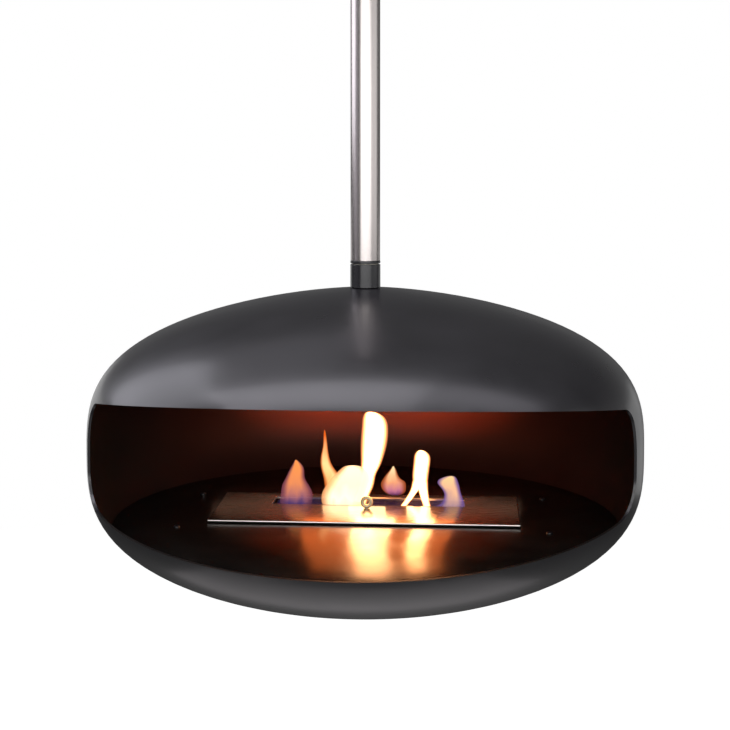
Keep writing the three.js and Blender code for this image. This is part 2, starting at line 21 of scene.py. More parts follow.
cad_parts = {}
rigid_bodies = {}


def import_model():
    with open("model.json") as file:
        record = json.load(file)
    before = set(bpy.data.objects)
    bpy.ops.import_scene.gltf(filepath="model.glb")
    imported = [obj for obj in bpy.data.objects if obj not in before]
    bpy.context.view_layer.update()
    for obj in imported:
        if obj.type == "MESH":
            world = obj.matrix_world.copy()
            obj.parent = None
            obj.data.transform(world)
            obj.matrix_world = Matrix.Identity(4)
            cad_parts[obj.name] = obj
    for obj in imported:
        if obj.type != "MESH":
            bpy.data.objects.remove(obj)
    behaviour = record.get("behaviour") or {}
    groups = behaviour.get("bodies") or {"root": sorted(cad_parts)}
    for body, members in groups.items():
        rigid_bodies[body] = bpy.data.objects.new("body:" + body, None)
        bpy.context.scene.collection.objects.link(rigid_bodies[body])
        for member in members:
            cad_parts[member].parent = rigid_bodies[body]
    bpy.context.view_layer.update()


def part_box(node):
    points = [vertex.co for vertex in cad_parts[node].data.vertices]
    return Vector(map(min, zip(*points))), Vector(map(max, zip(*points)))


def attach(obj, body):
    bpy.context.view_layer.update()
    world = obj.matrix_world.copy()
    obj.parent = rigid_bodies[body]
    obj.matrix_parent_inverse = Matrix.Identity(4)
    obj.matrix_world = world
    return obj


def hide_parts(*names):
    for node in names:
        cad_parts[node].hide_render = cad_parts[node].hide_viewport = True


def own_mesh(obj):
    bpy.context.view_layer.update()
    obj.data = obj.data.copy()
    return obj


LOG = logging.getLogger("fireplace")
MM = 0.001
SEAT_GAP = 0.3 * MM
RUNNING_GAP = 0.5 * MM
POD_CENTRE = -0.880
LID_TRAVEL = 62 * MM
POLE_RADIUS = 25.4 * MM
POLE_WALL = 2 * MM
PAST = 10 * MM  # how far a cutting shape goes past the piece it cuts
ONE_POINT = 1e-6  # points closer than this count as one
SHARP = 35.0  # edges that turn by more degrees than this stay sharp

Profile = Sequence[tuple[float, float]]


# ------------------------------------------------------------------ colour and nodes


def linear(hex_colour: str) -> tuple[float, float, float, float]:
    """Turns an sRGB hex value into Blender's linear colour.

    Args:
        hex_colour: six hex digits after a hash sign.

    Returns:
        Red, green and blue from 0 to 1, and an alpha of 1.
    """
    levels = [int(hex_colour[place : place + 2], 16) / 255 for place in (1, 3, 5)]
    red, green, blue = (v / 12.92 if v <= 0.04045 else ((v + 0.055) / 1.055) ** 2.4 for v in levels)
    return (red, green, blue, 1.0)


def add_node(
    tree: bpy.types.NodeTree,
    kind: str,
    values: dict[str | int, Any] | None = None,
    links: dict[str | int, bpy.types.NodeSocket] | None = None,
    **settings: Any,
) -> bpy.types.Node:
    """Adds a node with its settings, socket values and incoming links.

    Args:
        tree: the node tree that gets the node.
        kind: the node's Blender type name.
        values: numbers or colours for input sockets, by name or place.
        links: output sockets to join to input sockets, by name or place.
        settings: attributes of the node itself.

    Returns:
        The new node.
    """
    node = tree.nodes.new(kind)
    for name, setting in settings.items():
        setattr(node, name, setting)
    for socket, value in (values or {}).items():
        node.inputs[socket].default_value = value
    for socket, source in (links or {}).items():
        tree.links.new(source, node.inputs[socket])
    return node


def set_stops(node: bpy.types.Node, stops: Sequence[tuple[float, Any]]) -> None:
    """Gives a colour ramp node its stops.

    Args:
        node: the colour ramp node.
        stops: place and colour of each stop; a colour is a hex value or a grey level.
    """
    ramp = node.color_ramp
    while len(ramp.elements) < len(stops):
        ramp.elements.new(0.5)
    for element, (place, colour) in zip(ramp.elements, stops):
        element.position = place
        element.color = linear(colour) if isinstance(colour, str) else (colour, colour, colour, 1.0)


# ------------------------------------------------------------------ finishes


NOISE = "ShaderNodeTexNoise"


class Grain(Enum):
    """Which way the brush went over a stainless surface."""

    ALONG_X = (0.03, 1.0, 1.0)
    ALONG_Z = (1.0, 1.0, 0.008)
    ROUND = (1.0, 1.0, 1.0)


@dataclass(frozen=True)
class Mixer:
    """The nodes of one material while its finish is put together."""

    tree: bpy.types.NodeTree
    shader: bpy.types.Node

    def add(self, kind: str, *inputs: dict | None, **settings: Any) -> bpy.types.Node:
        """Adds a node, as add_node does, to this material."""
        return add_node(self.tree, kind, *inputs, **settings)

    def set(self, values: dict[str, Any]) -> None:
        """Sets the shader's own numbers and colours, by socket name."""
        for name, value in values.items():
            self.shader.inputs[name].default_value = value

    def join(self, name: str, source: bpy.types.NodeSocket) -> None:
        """Joins an output to the shader's socket of that name."""
        self.tree.links.new(source, self.shader.inputs[name])

    def feed(
        self, name: str, kind: str, links: dict[str, bpy.types.NodeSocket],
        values: dict[str, float] | None = None, stops: Sequence[tuple[float, str]] = (),
    ) -> None:
        """Adds a node, and joins its first output to the shader.

        Args:
            name: the shader's socket.
            kind: the node's Blender type name.
            links: output sockets to join to its input sockets, by name.
            values: numbers for its input sockets, by name.
            stops: place and colour of each of its stops, where it has them.
        """
        node = self.add(kind, values, links)
        if stops:
            set_stops(node, stops)
        self.join(name, node.outputs[0])

    def pattern(
        self, kind: str, per_metre: float | Sequence[float], values: dict[str, Any], **settings: Any
    ) -> bpy.types.Node:
        """Adds a pattern that is scaled to a real size.

        Args:
            kind: the pattern node's Blender type name.
            per_metre: how many pattern units fit in a metre, each way or along X, Y and Z.
            values: numbers or colours for its input sockets.
            settings: attributes of the node itself.

        Returns:
            The pattern node.
        """
        scale = (per_metre,) * 3 if isinstance(per_metre, (int, float)) else tuple(per_metre)
        coords = self.add("ShaderNodeTexCoord").outputs["Object"]
        mapping = self.add("ShaderNodeMapping", {"Scale": scale}, {"Vector": coords})
        return self.add(kind, {"Scale": 1.0, **values}, {"Vector": mapping.outputs["Vector"]}, **settings)


@dataclass(frozen=True)
class Finish:
    """What every finish shares: a name, the record's slot and a Principled shader."""

    title: str
    slot: str

    def material(self) -> bpy.types.Material:
        """Makes the finish's material the first time it is asked for.

        Returns:
            The material.
        """
        made = bpy.data.materials.get(self.title)
        if made is None:
            made = bpy.data.materials.new(self.title)
            made.use_nodes = True
            self.paint(Mixer(made.node_tree, made.node_tree.nodes["Principled BSDF"]))
        return made

    def paint(self, mix: Mixer) -> None:
        """Sets the shader of a new material and what feeds it."""
        raise NotImplementedError


@dataclass(frozen=True)
class PowderCoat(Finish):
    """Satin black heat-resistant powder coat, sprayed and baked on sheet steel.

    It gives the eye a deep grey-black with a wide soft sheen and a very fine orange peel.
    """

    title: str = "satin_black_powder_coat"
    slot: str = "satin_black_steel"
    colour: str = "#151417"
    dusty: str = "#1A191C"
    roughness: float = 0.3
    clear: float = 0.12  # how much of the smooth outer skin shows
    mirror: float = 0.5  # how strongly it mirrors; half is a plain paint
    peel: float = 1.6 * MM  # width of one ripple of the orange peel

    def paint(self, mix: Mixer) -> None:
        """Sets a dark base with a fine peel, and a sheen that varies a little."""
        mix.set({"IOR": 1.5, "Specular IOR Level": self.mirror})
        mix.set({"Coat Weight": self.clear, "Coat Roughness": 0.16})
        wide = mix.pattern(NOISE, 1, {"Scale": 9.0, "Detail": 4.0}).outputs["Fac"]
        tones = [(0.35, self.colour), (0.75, self.dusty)]
        mix.feed("Base Color", "ShaderNodeValToRGB", {"Fac": wide}, stops=tones)
        smooth, rough = self.roughness - 0.03, self.roughness + 0.04
        span = {"From Min": 0.3, "From Max": 0.7, "To Min": smooth, "To Max": rough}
        mix.feed("Roughness", "ShaderNodeMapRange", {"Value": wide}, span)
        height = mix.pattern(NOISE, 1 / self.peel, {"Detail": 2.0}).outputs["Fac"]
        relief = {"Strength": 0.35, "Distance": 0.05 * MM}
        mix.feed("Normal", "ShaderNodeBump", {"Height": height}, relief)


@dataclass(frozen=True)
class HearthLacquer(Finish):
    """Semi-gloss black heat-resistant lacquer, rolled on flat steel sheet.

    It gives the eye a near-black floor that mirrors the flames as soft upright streaks.
    """

    title: str = "hearth_black_lacquer"
    slot: str = "hearth_black_steel"
    colour: str = "#100F0E"
    soot: str = "#1B1917"
    roughness: float = 0.2
    grain: float = 0.9 * MM  # width of the roller's fine grain, drawn as coarse as it needs to show

    def paint(self, mix: Mixer) -> None:
        """Sets a near-black base, patches of soot and a fine roller grain."""
        mix.set({"IOR": 1.52})
        soot = mix.pattern(NOISE, 1, {"Scale": 14.0, "Detail": 6.0, "Roughness": 0.6}).outputs["Fac"]
        tones = [(0.4, self.colour), (0.8, self.soot)]
        mix.feed("Base Color", "ShaderNodeValToRGB", {"Fac": soot}, stops=tones)
        smooth, rough = self.roughness - 0.04, self.roughness + 0.08
        span = {"From Min": 0.3, "From Max": 0.75, "To Min": smooth, "To Max": rough}
        mix.feed("Roughness", "ShaderNodeMapRange", {"Value": soot}, span)
        height = mix.pattern(NOISE, 1 / self.grain, {"Detail": 3.0}).outputs["Fac"]
        relief = {"Strength": 0.4, "Distance": 0.02 * MM}
        mix.feed("Normal", "ShaderNodeBump", {"Height": height}, relief)


@dataclass(frozen=True)
class BrushedStainless(Finish):
    """Brushed stainless steel, drawn over a belt with long straight scratches.

    It gives the eye a bright metal whose highlights stretch across the grain.
    """

    title: str = "brushed_stainless_pole"
    slot: str = "brushed_stainless"
    colour: str = "#BDB6B4"
    worn: str = "#B6AFAD"
    roughness: float = 0.26
    grain: Grain = Grain.ALONG_Z
    scratch: float = 0.7 * MM  # width of one scratch, drawn as coarse as it needs to show
    directional: float = 0.3
    depth: float = 0.35  # how much of the scratches' relief shows
    spread: float = 0.02  # how far the roughness strays both ways between land and scratch

    def paint(self, mix: Mixer) -> None:
        """Sets a metal with scratches stretched along its grain."""
        mix.set({"Metallic": 1.0, "Anisotropic": self.directional})
        per_metre = [share / self.scratch for share in self.grain.value]
        scratches = mix.pattern(NOISE, per_metre, {"Detail": 5.0, "Roughness": 0.7}).outputs["Fac"]
        tones = [(0.3, self.worn), (0.7, self.colour)]
        mix.feed("Base Color", "ShaderNodeValToRGB", {"Fac": scratches}, stops=tones)
        smooth, rough = self.roughness - self.spread, self.roughness + self.spread
        span = {"From Min": 0.25, "From Max": 0.75, "To Min": smooth, "To Max": rough}
        mix.feed("Roughness", "ShaderNodeMapRange", {"Value": scratches}, span)
        relief = {"Strength": self.depth, "Distance": 0.01 * MM}
        mix.feed("Normal", "ShaderNodeBump", {"Height": scratches}, relief)


@dataclass(frozen=True)
class ZincPlate(Finish):
    """Bright zinc plating on pressed and turned steel.

    It gives the eye a bluish silver with faint cloudy spangles.
    """

    title: str = "bright_zinc_plate"
    slot: str = "zinc_plated_steel"
    colour: str = "#A9ADB3"
    cloud: str = "#8D9096"
    roughness: float = 0.34
    spangle: float = 6 * MM

    def paint(self, mix: Mixer) -> None:
        """Sets a metal with cloudy patches of two greys."""
        mix.set({"Metallic": 1.0})
        clouds = mix.pattern(NOISE, 1 / self.spangle, {"Detail": 5.0, "Distortion": 0.6}).outputs["Fac"]
        tones = [(0.35, self.cloud), (0.65, self.colour)]
        mix.feed("Base Color", "ShaderNodeValToRGB", {"Fac": clouds}, stops=tones)
        smooth, rough = self.roughness - 0.08, self.roughness + 0.1
        span = {"From Min": 0.3, "From Max": 0.7, "To Min": smooth, "To Max": rough}
        mix.feed("Roughness", "ShaderNodeMapRange", {"Value": clouds}, span)
        relief = {"Strength": 0.3, "Distance": 0.02 * MM}
        mix.feed("Normal", "ShaderNodeBump", {"Height": clouds}, relief)


@dataclass(frozen=True)
class BearingSteel(Finish):
    """Hardened bearing steel, ground and polished.

    It gives the eye a near-mirror with faint grinding rings.
    """

    title: str = "polished_bearing_steel"
    slot: str = "bearing_steel"
    colour: str = "#C3C4C8"
    ring: str = "#AEB0B5"
    roughness: float = 0.12
    spacing: float = 0.8 * MM  # between grinding rings

    def paint(self, mix: Mixer) -> None:
        """Sets a polished metal with rings about the swivel's axis."""
        mix.set({"Metallic": 1.0, "Roughness": self.roughness})
        wave = mix.pattern(
            "ShaderNodeTexWave", 1 / self.spacing, {"Scale": 0.32, "Distortion": 0.5},
            wave_type="RINGS", rings_direction="Z",
        )
        tones = [(0.0, self.ring), (1.0, self.colour)]
        mix.feed("Base Color", "ShaderNodeValToRGB", {"Fac": wave.outputs["Fac"]}, stops=tones)
        relief = {"Strength": 0.2, "Distance": 0.01 * MM}
        mix.feed("Normal", "ShaderNodeBump", {"Height": wave.outputs["Fac"]}, relief)


@dataclass(frozen=True)
class SlipPlastic(Finish):
    """Low-friction acetal, turned on a lathe.

    It gives the eye a waxy grey edge between two black steel rings.
    """

    title: str = "white_acetal"
    slot: str = "slip_plastic"
    colour: str = "#A5A196"
    rubbed: str = "#8B877C"
    roughness: float = 0.38
    smear: float = 4 * MM  # width of a rubbed patch

    def paint(self, mix: Mixer) -> None:
        """Sets a waxy plastic, a little rubbed."""
        mix.set({"Roughness": self.roughness, "IOR": 1.48})
        rub = mix.pattern(NOISE, 1 / self.smear, {"Detail": 3.0}).outputs["Fac"]
        tones = [(0.3, self.rubbed), (0.6, self.colour)]
        mix.feed("Base Color", "ShaderNodeValToRGB", {"Fac": rub}, stops=tones)
        relief = {"Strength": 0.2, "Distance": 0.01 * MM}
        mix.feed("Normal", "ShaderNodeBump", {"Height": rub}, relief)


@dataclass(frozen=True)
class CeramicFibre(Finish):
    """Ceramic fibre board, pressed from short mineral fibres.

    It gives the eye a matt chalky white with a felted surface and scorched patches.
    """

    title: str = "ceramic_fibre_board"
    slot: str = "ceramic_fibre"
    colour: str = "#CFC9BC"
    scorched: str = "#8E8475"
    roughness: float = 0.95
    scorch: float = 30 * MM  # width of a scorched patch
    fibre: float = 1.2 * MM

    def paint(self, mix: Mixer) -> None:
        """Sets a matt white with tangled fibres and scorched patches."""
        mix.set({"Roughness": self.roughness})
        patches = mix.pattern(NOISE, 1 / self.scorch, {"Detail": 6.0}).outputs["Fac"]
        tones = [(0.35, self.scorched), (0.6, self.colour)]
        mix.feed("Base Color", "ShaderNodeValToRGB", {"Fac": patches}, stops=tones)
        height = mix.pattern(NOISE, 1 / self.fibre, {"Detail": 6.0, "Distortion": 2.5}).outputs["Fac"]
        relief = {"Strength": 0.7, "Distance": 0.4 * MM}
        mix.feed("Normal", "ShaderNodeBump", {"Height": height}, relief)


@dataclass(frozen=True)
class FibrePad(Finish):
    """Matt black heat-resistant pad, woven from glass yarn.

    It gives the eye a dark dull strip under the burner's corners.
    """

    title: str = "black_glass_fibre_pad"
    slot: str = "fibre_pad"
    colour: str = "#191919"
    thread: str = "#2A2A2A"
    roughness: float = 0.9
    spacing: float = 1.2 * MM

    def paint(self, mix: Mixer) -> None:
        """Sets a matt black with a small weave."""
        mix.set({"Roughness": self.roughness})
        yarns = {"Color1": linear(self.colour), "Color2": linear(self.thread)}
        weave = mix.pattern("ShaderNodeTexChecker", 1 / self.spacing, yarns)
        mix.join("Base Color", weave.outputs["Color"])
        relief = {"Strength": 0.6, "Distance": 0.2 * MM}
        mix.feed("Normal", "ShaderNodeBump", {"Height": weave.outputs["Fac"]}, relief)


@dataclass(frozen=True)
class Flame(Finish):
    """Burning ethanol vapour.

    It gives the eye a glowing body, blue at the slot, yellow-white in the middle and orange
    towards its tip and its sides, that lets what is behind it show through.
    """

    title: str = "flame"
    slot: str = "ceramic_fibre"
    foot: str = "#2B2A6A"
    low: str = "#B0503A"
    middle: str = "#FFB070"
    tip: str = "#E0622A"
    side: str = "#59260F"
    glow: float = 3.0
    body: float = 0.8  # how solid its middle looks, from 0 to 1
    fringe: float = 0.25  # how solid its sides look
    foot_body: float = 0.35  # the share of that which is left at its foot
    flicker: tuple[float, float, float] = (55.0, 55.0, 24.0)  # ripples in a metre

    def paint(self, mix: Mixer) -> None:
        """Sets a glow and a body that follow the flame's own length and width."""
        mix.set({"Base Color": linear("#000000"), "Roughness": 1.0, "Specular IOR Level": 0.0})
        mix.set({"Emission Strength": self.glow})
        rise = mix.add("ShaderNodeAttribute", attribute_name="rise").outputs["Fac"]
        side = mix.add("ShaderNodeAttribute", attribute_name="side").outputs["Fac"]
        waves = {0: mix.pattern(NOISE, self.flicker, {"Detail": 2.0}).outputs["Fac"]}
        shift = mix.add("ShaderNodeMath", {1: 0.5, 2: -0.25}, waves, operation="MULTIPLY_ADD")
        parts = {0: rise, 1: shift.outputs["Value"]}
        level = mix.add("ShaderNodeMath", {}, parts, operation="ADD").outputs["Value"]
        core = mix.add("ShaderNodeValToRGB", {}, {"Fac": level})
        set_stops(core, [(0.03, self.foot), (0.2, self.low), (0.5, self.middle), (0.95, self.tip)])
        edge = mix.add(
            "ShaderNodeMapRange", {"From Min": 0.45, "From Max": 0.98}, {"Value": side},
            interpolation_type="SMOOTHSTEP",
        )
        shades = {0: edge.outputs["Result"], 6: core.outputs["Color"]}
        glow = mix.add("ShaderNodeMix", {7: linear(self.side)}, shades, data_type="RGBA")
        mix.join("Emission Color", glow.outputs[2])
        solid = {"From Min": 0.5, "From Max": 1.0, "To Min": self.body, "To Max": self.fringe}
        across = mix.add("ShaderNodeMapRange", solid, {"Value": side})
        thin = {"From Min": 0.02, "From Max": 0.25, "To Min": self.foot_body}
        along = mix.add("ShaderNodeMapRange", thin, {"Value": level})
        shares = {0: across.outputs["Result"], 1: along.outputs["Result"]}
        body = mix.add("ShaderNodeMath", {}, shares, operation="MULTIPLY")
        mix.join("Alpha", body.outputs["Value"])


POWDER = PowderCoat()
# A glossier copy of the powder coat for the collar, made a little lighter as a painted highlight.
COLLAR_HIGHLIGHT = PowderCoat(
    title="collar_satin_powder_coat", colour="#1C1B1E", dusty="#212023", roughness=0.2,
)
# A darker, duller copy of the powder coat for the shell's inside: painted shade within the chamber.
CHAMBER_SHADE = PowderCoat(
    title="chamber_heat_lacquer", colour="#100E0D", dusty="#161311", roughness=0.45, clear=0.0, mirror=0.2,
)
LACQUER = HearthLacquer()
POLE_STEEL = BrushedStainless()
COVER_STEEL = BrushedStainless(title="brushed_stainless_cover", grain=Grain.ROUND, roughness=0.3)
PLATE_STEEL = BrushedStainless(
    title="brushed_stainless_burner", colour="#A39A92", worn="#958C84", grain=Grain.ALONG_X,
    directional=0.0, depth=0.3, spread=0.2,
)
# The burner plate's edges: a ground finish, with a much lighter colour that is a painted highlight along
# them.
EDGE_HIGHLIGHT_STEEL = BrushedStainless(
    title="ground_stainless_edge", colour="#F2EAE4", worn="#E4DBD4", roughness=0.3, grain=Grain.ALONG_X,
    directional=0.0,
)
# A warmer, lighter copy of the stainless for the ring pull: painted light from the flames beside it.
RING_STEEL_FIRELIGHT = BrushedStainless(
    title="polished_stainless_ring", colour="#C9BC9F", worn="#B5A88C", roughness=0.34, grain=Grain.ROUND,
    directional=0.0,
)
ZINC = ZincPlate()
BEARING = BearingSteel()
ACETAL = SlipPlastic()
WICK_BOARD = CeramicFibre()
PAD_WEAVE = FibrePad()


# ------------------------------------------------------------------ mesh making


def finish_mesh(
    name: str, shape: bmesh.types.BMesh, finish: Finish, sharp: float = SHARP
) -> bpy.types.Object:
    """Turns a bmesh into a smooth-shaded object at the origin.

    Args:
        name: the object's name.
        shape: the bmesh, which is freed.
        finish: what it is painted with.
        sharp: edges that turn by more degrees than this stay sharp.

    Returns:
        The new object.
    """
    mesh = bpy.data.meshes.new(name)
    shape.to_mesh(mesh)
    shape.free()
    mesh.materials.append(finish.material())
    piece = bpy.data.objects.new(name, mesh)
    bpy.context.scene.collection.objects.link(piece)
    shade(piece, sharp)
    return piece


def shade(piece: bpy.types.Object, sharp: float) -> None:
    """Shades an object smooth, apart from edges that turn by more than `sharp` degrees."""
    piece.data.shade_smooth()
    piece.data.set_sharp_from_angle(angle=math.radians(sharp))


def apply_modifiers(piece: bpy.types.Object) -> None:
    """Puts an object's modifiers into its mesh.

    Args:
        piece: the object.
    """
    seen = piece.evaluated_get(bpy.context.evaluated_depsgraph_get())
    baked = bpy.data.meshes.new_from_object(seen)
    old = piece.data
    piece.modifiers.clear()
    piece.data = baked
    baked.name = old.name
    bpy.data.meshes.remove(old)


def cut(piece: bpy.types.Object, shape: bmesh.types.BMesh, sharp: float = SHARP) -> None:
    """Cuts a closed shape out of an object.

    Args:
        piece: the object that is cut.
        shape: the bmesh that is taken away, which is freed.
        sharp: edges that turn by more degrees than this stay sharp.
    """
    mesh = bpy.data.meshes.new("cutter")
    shape.to_mesh(mesh)
    shape.free()
    cutter = bpy.data.objects.new("cutter", mesh)
    bpy.context.scene.collection.objects.link(cutter)
    away = piece.modifiers.new("cut", "BOOLEAN")
    away.operation = "DIFFERENCE"
    away.solver = "EXACT"
    away.object = cutter
    apply_modifiers(piece)
    bpy.data.objects.remove(cutter)
    bpy.data.meshes.remove(mesh)
    shade(piece, sharp)


def absorb(shape: bmesh.types.BMesh, other: bmesh.types.BMesh) -> None:
    """Adds another bmesh's faces to a bmesh.

    Args:
        shape: the bmesh that grows.
        other: the bmesh that is added, which is freed.
    """
    spare = bpy.data.meshes.new("spare")
    other.to_mesh(spare)
    other.free()
    shape.from_mesh(spare)
    bpy.data.meshes.remove(spare)


def spin_profile(shape: bmesh.types.BMesh, profile: Profile, steps: int, closed: bool) -> None:
    """Turns a profile of radius and height points about the Z axis.

    Args:
        shape: the bmesh that gets the turned wall.
        profile: the points, in order.
        steps: how many facets go round.
        closed: whether the profile joins up with itself.
    """
    points = [shape.verts.new((radius, 0.0, height)) for radius, height in profile]
    follow = points[1:] + points[:1] if closed else points[1:]
    edges = [shape.edges.new(pair) for pair in zip(points, follow)]
    bmesh.ops.spin(
        shape, geom=points + edges, cent=(0, 0, 0), axis=(0, 0, 1), angle=math.tau, steps=steps,
        use_merge=True,
    )
    bmesh.ops.remove_doubles(shape, verts=shape.verts, dist=ONE_POINT)
    bmesh.ops.recalc_face_normals(shape, faces=shape.faces)


def turned(
    name: str, profile: Profile, finish: Finish, steps: int, closed: bool = True, place: Matrix | None = None
) -> bpy.types.Object:
    """Makes a turned object.

    Args:
        name: its name.
        profile: its radius and height points, in order.
        finish: what it is painted with.
        steps: how many facets go round.
        closed: whether the profile joins up with itself.
        place: where it is put afterwards.

    Returns:
        The new object.
    """
    shape = bmesh.new()
    spin_profile(shape, profile, steps, closed)
    bmesh.ops.transform(shape, matrix=place or Matrix(), verts=shape.verts)
    return finish_mesh(name, shape, finish)


def ring_profile(
    bore: float, rim: float, low: float, high: float, ease: float, foot_ease: float | None = None
) -> list[tuple[float, float]]:
    """Draws the profile of a plain ring with eased outer edges.

    Args:
        bore: its inner radius.
        rim: its outer radius.
        low: where it starts along Z.
        high: where it ends along Z.
        ease: how much comes off its upper edge.
        foot_ease: how much comes off its lower edge; as much unless it is set.

    Returns:
        The radius and height points.
    """
    foot = ease if foot_ease is None else foot_ease
    return [
        (bore, low), (rim - foot, low), (rim, low + foot),
        (rim, high - ease), (rim - ease, high), (bore, high),
    ]


def box_shape(low: Sequence[float], high: Sequence[float]) -> bmesh.types.BMesh:
    """Makes a block between two corners.

    Args:
        low: its lowest corner.
        high: its highest corner.

    Returns:
        A bmesh with the block.
    """
    shape = bmesh.new()
    bmesh.ops.create_cube(shape, size=1.0)
    bmesh.ops.scale(shape, vec=Vector(high) - Vector(low), verts=shape.verts)
    bmesh.ops.translate(shape, vec=(Vector(high) + Vector(low)) / 2, verts=shape.verts)
    return shape


def bar_shape(
    sides: int, radius: float, low: float, high: float, place: Matrix | None = None
) -> bmesh.types.BMesh:
    """Makes a straight bar.

    Args:
        sides: how many sides it has.
        radius: from its axis to its corners.
        low: where it starts along Z.
        high: where it ends along Z.
        place: where it is put afterwards.

    Returns:
        A bmesh with the bar.
    """
    shape = bmesh.new()
    bmesh.ops.create_cone(
        shape, cap_ends=True, segments=sides, radius1=radius, radius2=radius, depth=high - low,
        matrix=(place or Matrix()) @ Matrix.Translation((0, 0, (low + high) / 2)),
    )
    return shape


def round_edges(
    shape: bmesh.types.BMesh, edges: Iterable[bmesh.types.BMEdge], width: float, steps: int
) -> None:
    """Rounds some edges over.

    Args:
        shape: the bmesh.
        edges: the edges that are rounded.
        width: how far back the rounding starts.
        steps: how many facets it has.
    """
    bmesh.ops.bevel(
        shape, geom=list(edges), offset=width, offset_type="OFFSET", segments=steps, profile=0.5,
        affect="EDGES", material=-1, clamp_overlap=True,
    )


def edges_along(shape: bmesh.types.BMesh, axis: int) -> list[bmesh.types.BMEdge]:
    """Returns the edges that run along one axis (0 is X, 1 is Y, 2 is Z)."""
    return [
        edge for edge in shape.edges
        if abs((edge.verts[1].co - edge.verts[0].co).normalized()[axis]) > 0.999
    ]


def level_edges(shape: bmesh.types.BMesh) -> list[bmesh.types.BMEdge]:
    """Returns the edges that lie level."""
    return [edge for edge in shape.edges if abs(edge.verts[0].co.z - edge.verts[1].co.z) < ONE_POINT]


def upright(node: str) -> Matrix:
    """Returns the place of a CAD node's own upright axis."""
    low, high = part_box(node)
    return Matrix.Translation(((low.x + high.x) / 2, (low.y + high.y) / 2, 0))


def numbered(node: str) -> list[str]:
    """Returns the names of the four copies of a CAD node."""
    return [f"{node}_{number}" for number in range(1, 5)]


def dress(finish: Finish, *nodes: str) -> None:
    """Gives CAD nodes that keep their shape a finish.

    Args:
        finish: what they are painted with.
        nodes: their names.
    """
    for name in nodes:
        for place in bpy.data.objects[name].material_slots:
            place.material = finish.material()


def settle(piece: bpy.types.Object, body: str, finish: Finish, *nodes: str) -> None:
    """Joins a new piece to a body, and hides the CAD nodes it stands for.

    Args:
        piece: the new piece.
        body: the body it moves with.
        finish: its finish; not used.
        nodes: the CAD nodes that it replaces.
    """
    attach(piece, body)
    if nodes:
        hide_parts(*nodes)
    LOG.info("%s rides on %s: %d faces", piece.name, body, len(piece.data.polygons))


# ------------------------------------------------------------------ ceiling fitting and pole


@dataclass
class CeilingFitting:
    """The ceiling plate, the pole that hangs from it and the cover over both."""

    cover_wall: float = 1.5 * MM
    cover_edge: float = 2.5 * MM
    cover_ease: float = 0.8 * MM
    lip_ease: float = 0.3 * MM
    neck_wall: float = 6 * MM
    cup_depth: float = 48 * MM
    pole_ease: float = 0.4 * MM
    bolt_drop: float = 30 * MM
    bolt_hole: float = 4.3 * MM
    grub_hole: float = 2.8 * MM
    reach: float = 50 * MM  # how far a drill goes, past the pole's and the cover's wall
    steps: int = 128

    def build(self) -> None:
        """Builds the pole and the cover, and dresses the plate and its fasteners."""
        self.pole()
        self.cover()
        dress(ZINC, "ceiling_plate", "pole_cross_bolt", "pole_cross_nut", "cover_grub_screw")

    def pole(self) -> None:
        """Spins the tube, eases its ends and drills the cross bolt's hole."""
        low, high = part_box("pole")
        profile = ring_profile(POLE_RADIUS - POLE_WALL, POLE_RADIUS, low.z, high.z, self.pole_ease)
        tube = turned("hanging_pole", profile, POLE_STEEL, self.steps)
        across = Matrix.Translation((0, 0, -self.bolt_drop)) @ Matrix.Rotation(math.pi / 2, 4, "X")
        cut(tube, bar_shape(32, self.bolt_hole, -self.reach, self.reach, across))
        settle(tube, "ceiling", POLE_STEEL, "pole")

    def cover(self) -> None:
        """Spins the cup with its rounded shoulder and neck, and taps the grub screw's hole."""
        low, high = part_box("ceiling_cover")
        rim, bore = high.x, POLE_RADIUS + RUNNING_GAP
        neck, shoulder = bore + self.neck_wall, high.z - self.cup_depth
        edge, ease, wall, lip = self.cover_edge, self.cover_ease, self.cover_wall, self.lip_ease
        turns = [step * math.pi / 12 for step in range(7)]
        corner = [
            (rim - edge + edge * math.sin(turn), shoulder + edge - edge * math.cos(turn)) for turn in turns
        ]
        fillet = [
            (neck + edge - edge * math.cos(turn), shoulder - edge + edge * math.sin(turn)) for turn in turns
        ]
        profile = [
            (bore, low.z), (neck - ease, low.z), (neck, low.z + ease), *fillet, *corner,
            (rim, high.z - lip), (rim - lip, high.z), (rim - wall, high.z),
            (rim - wall, shoulder + wall), (bore, shoulder + wall),
        ]
        cup = turned("ceiling_cup", profile, COVER_STEEL, self.steps)
        height = (low.z + shoulder) / 2
        across = Matrix.Translation((0, 0, height)) @ Matrix.Rotation(-math.pi / 2, 4, "X")
        cut(cup, bar_shape(24, self.grub_hole, 0.0, self.reach, across))
        settle(cup, "cover", COVER_STEEL, "ceiling_cover")


# ------------------------------------------------------------------ swivel


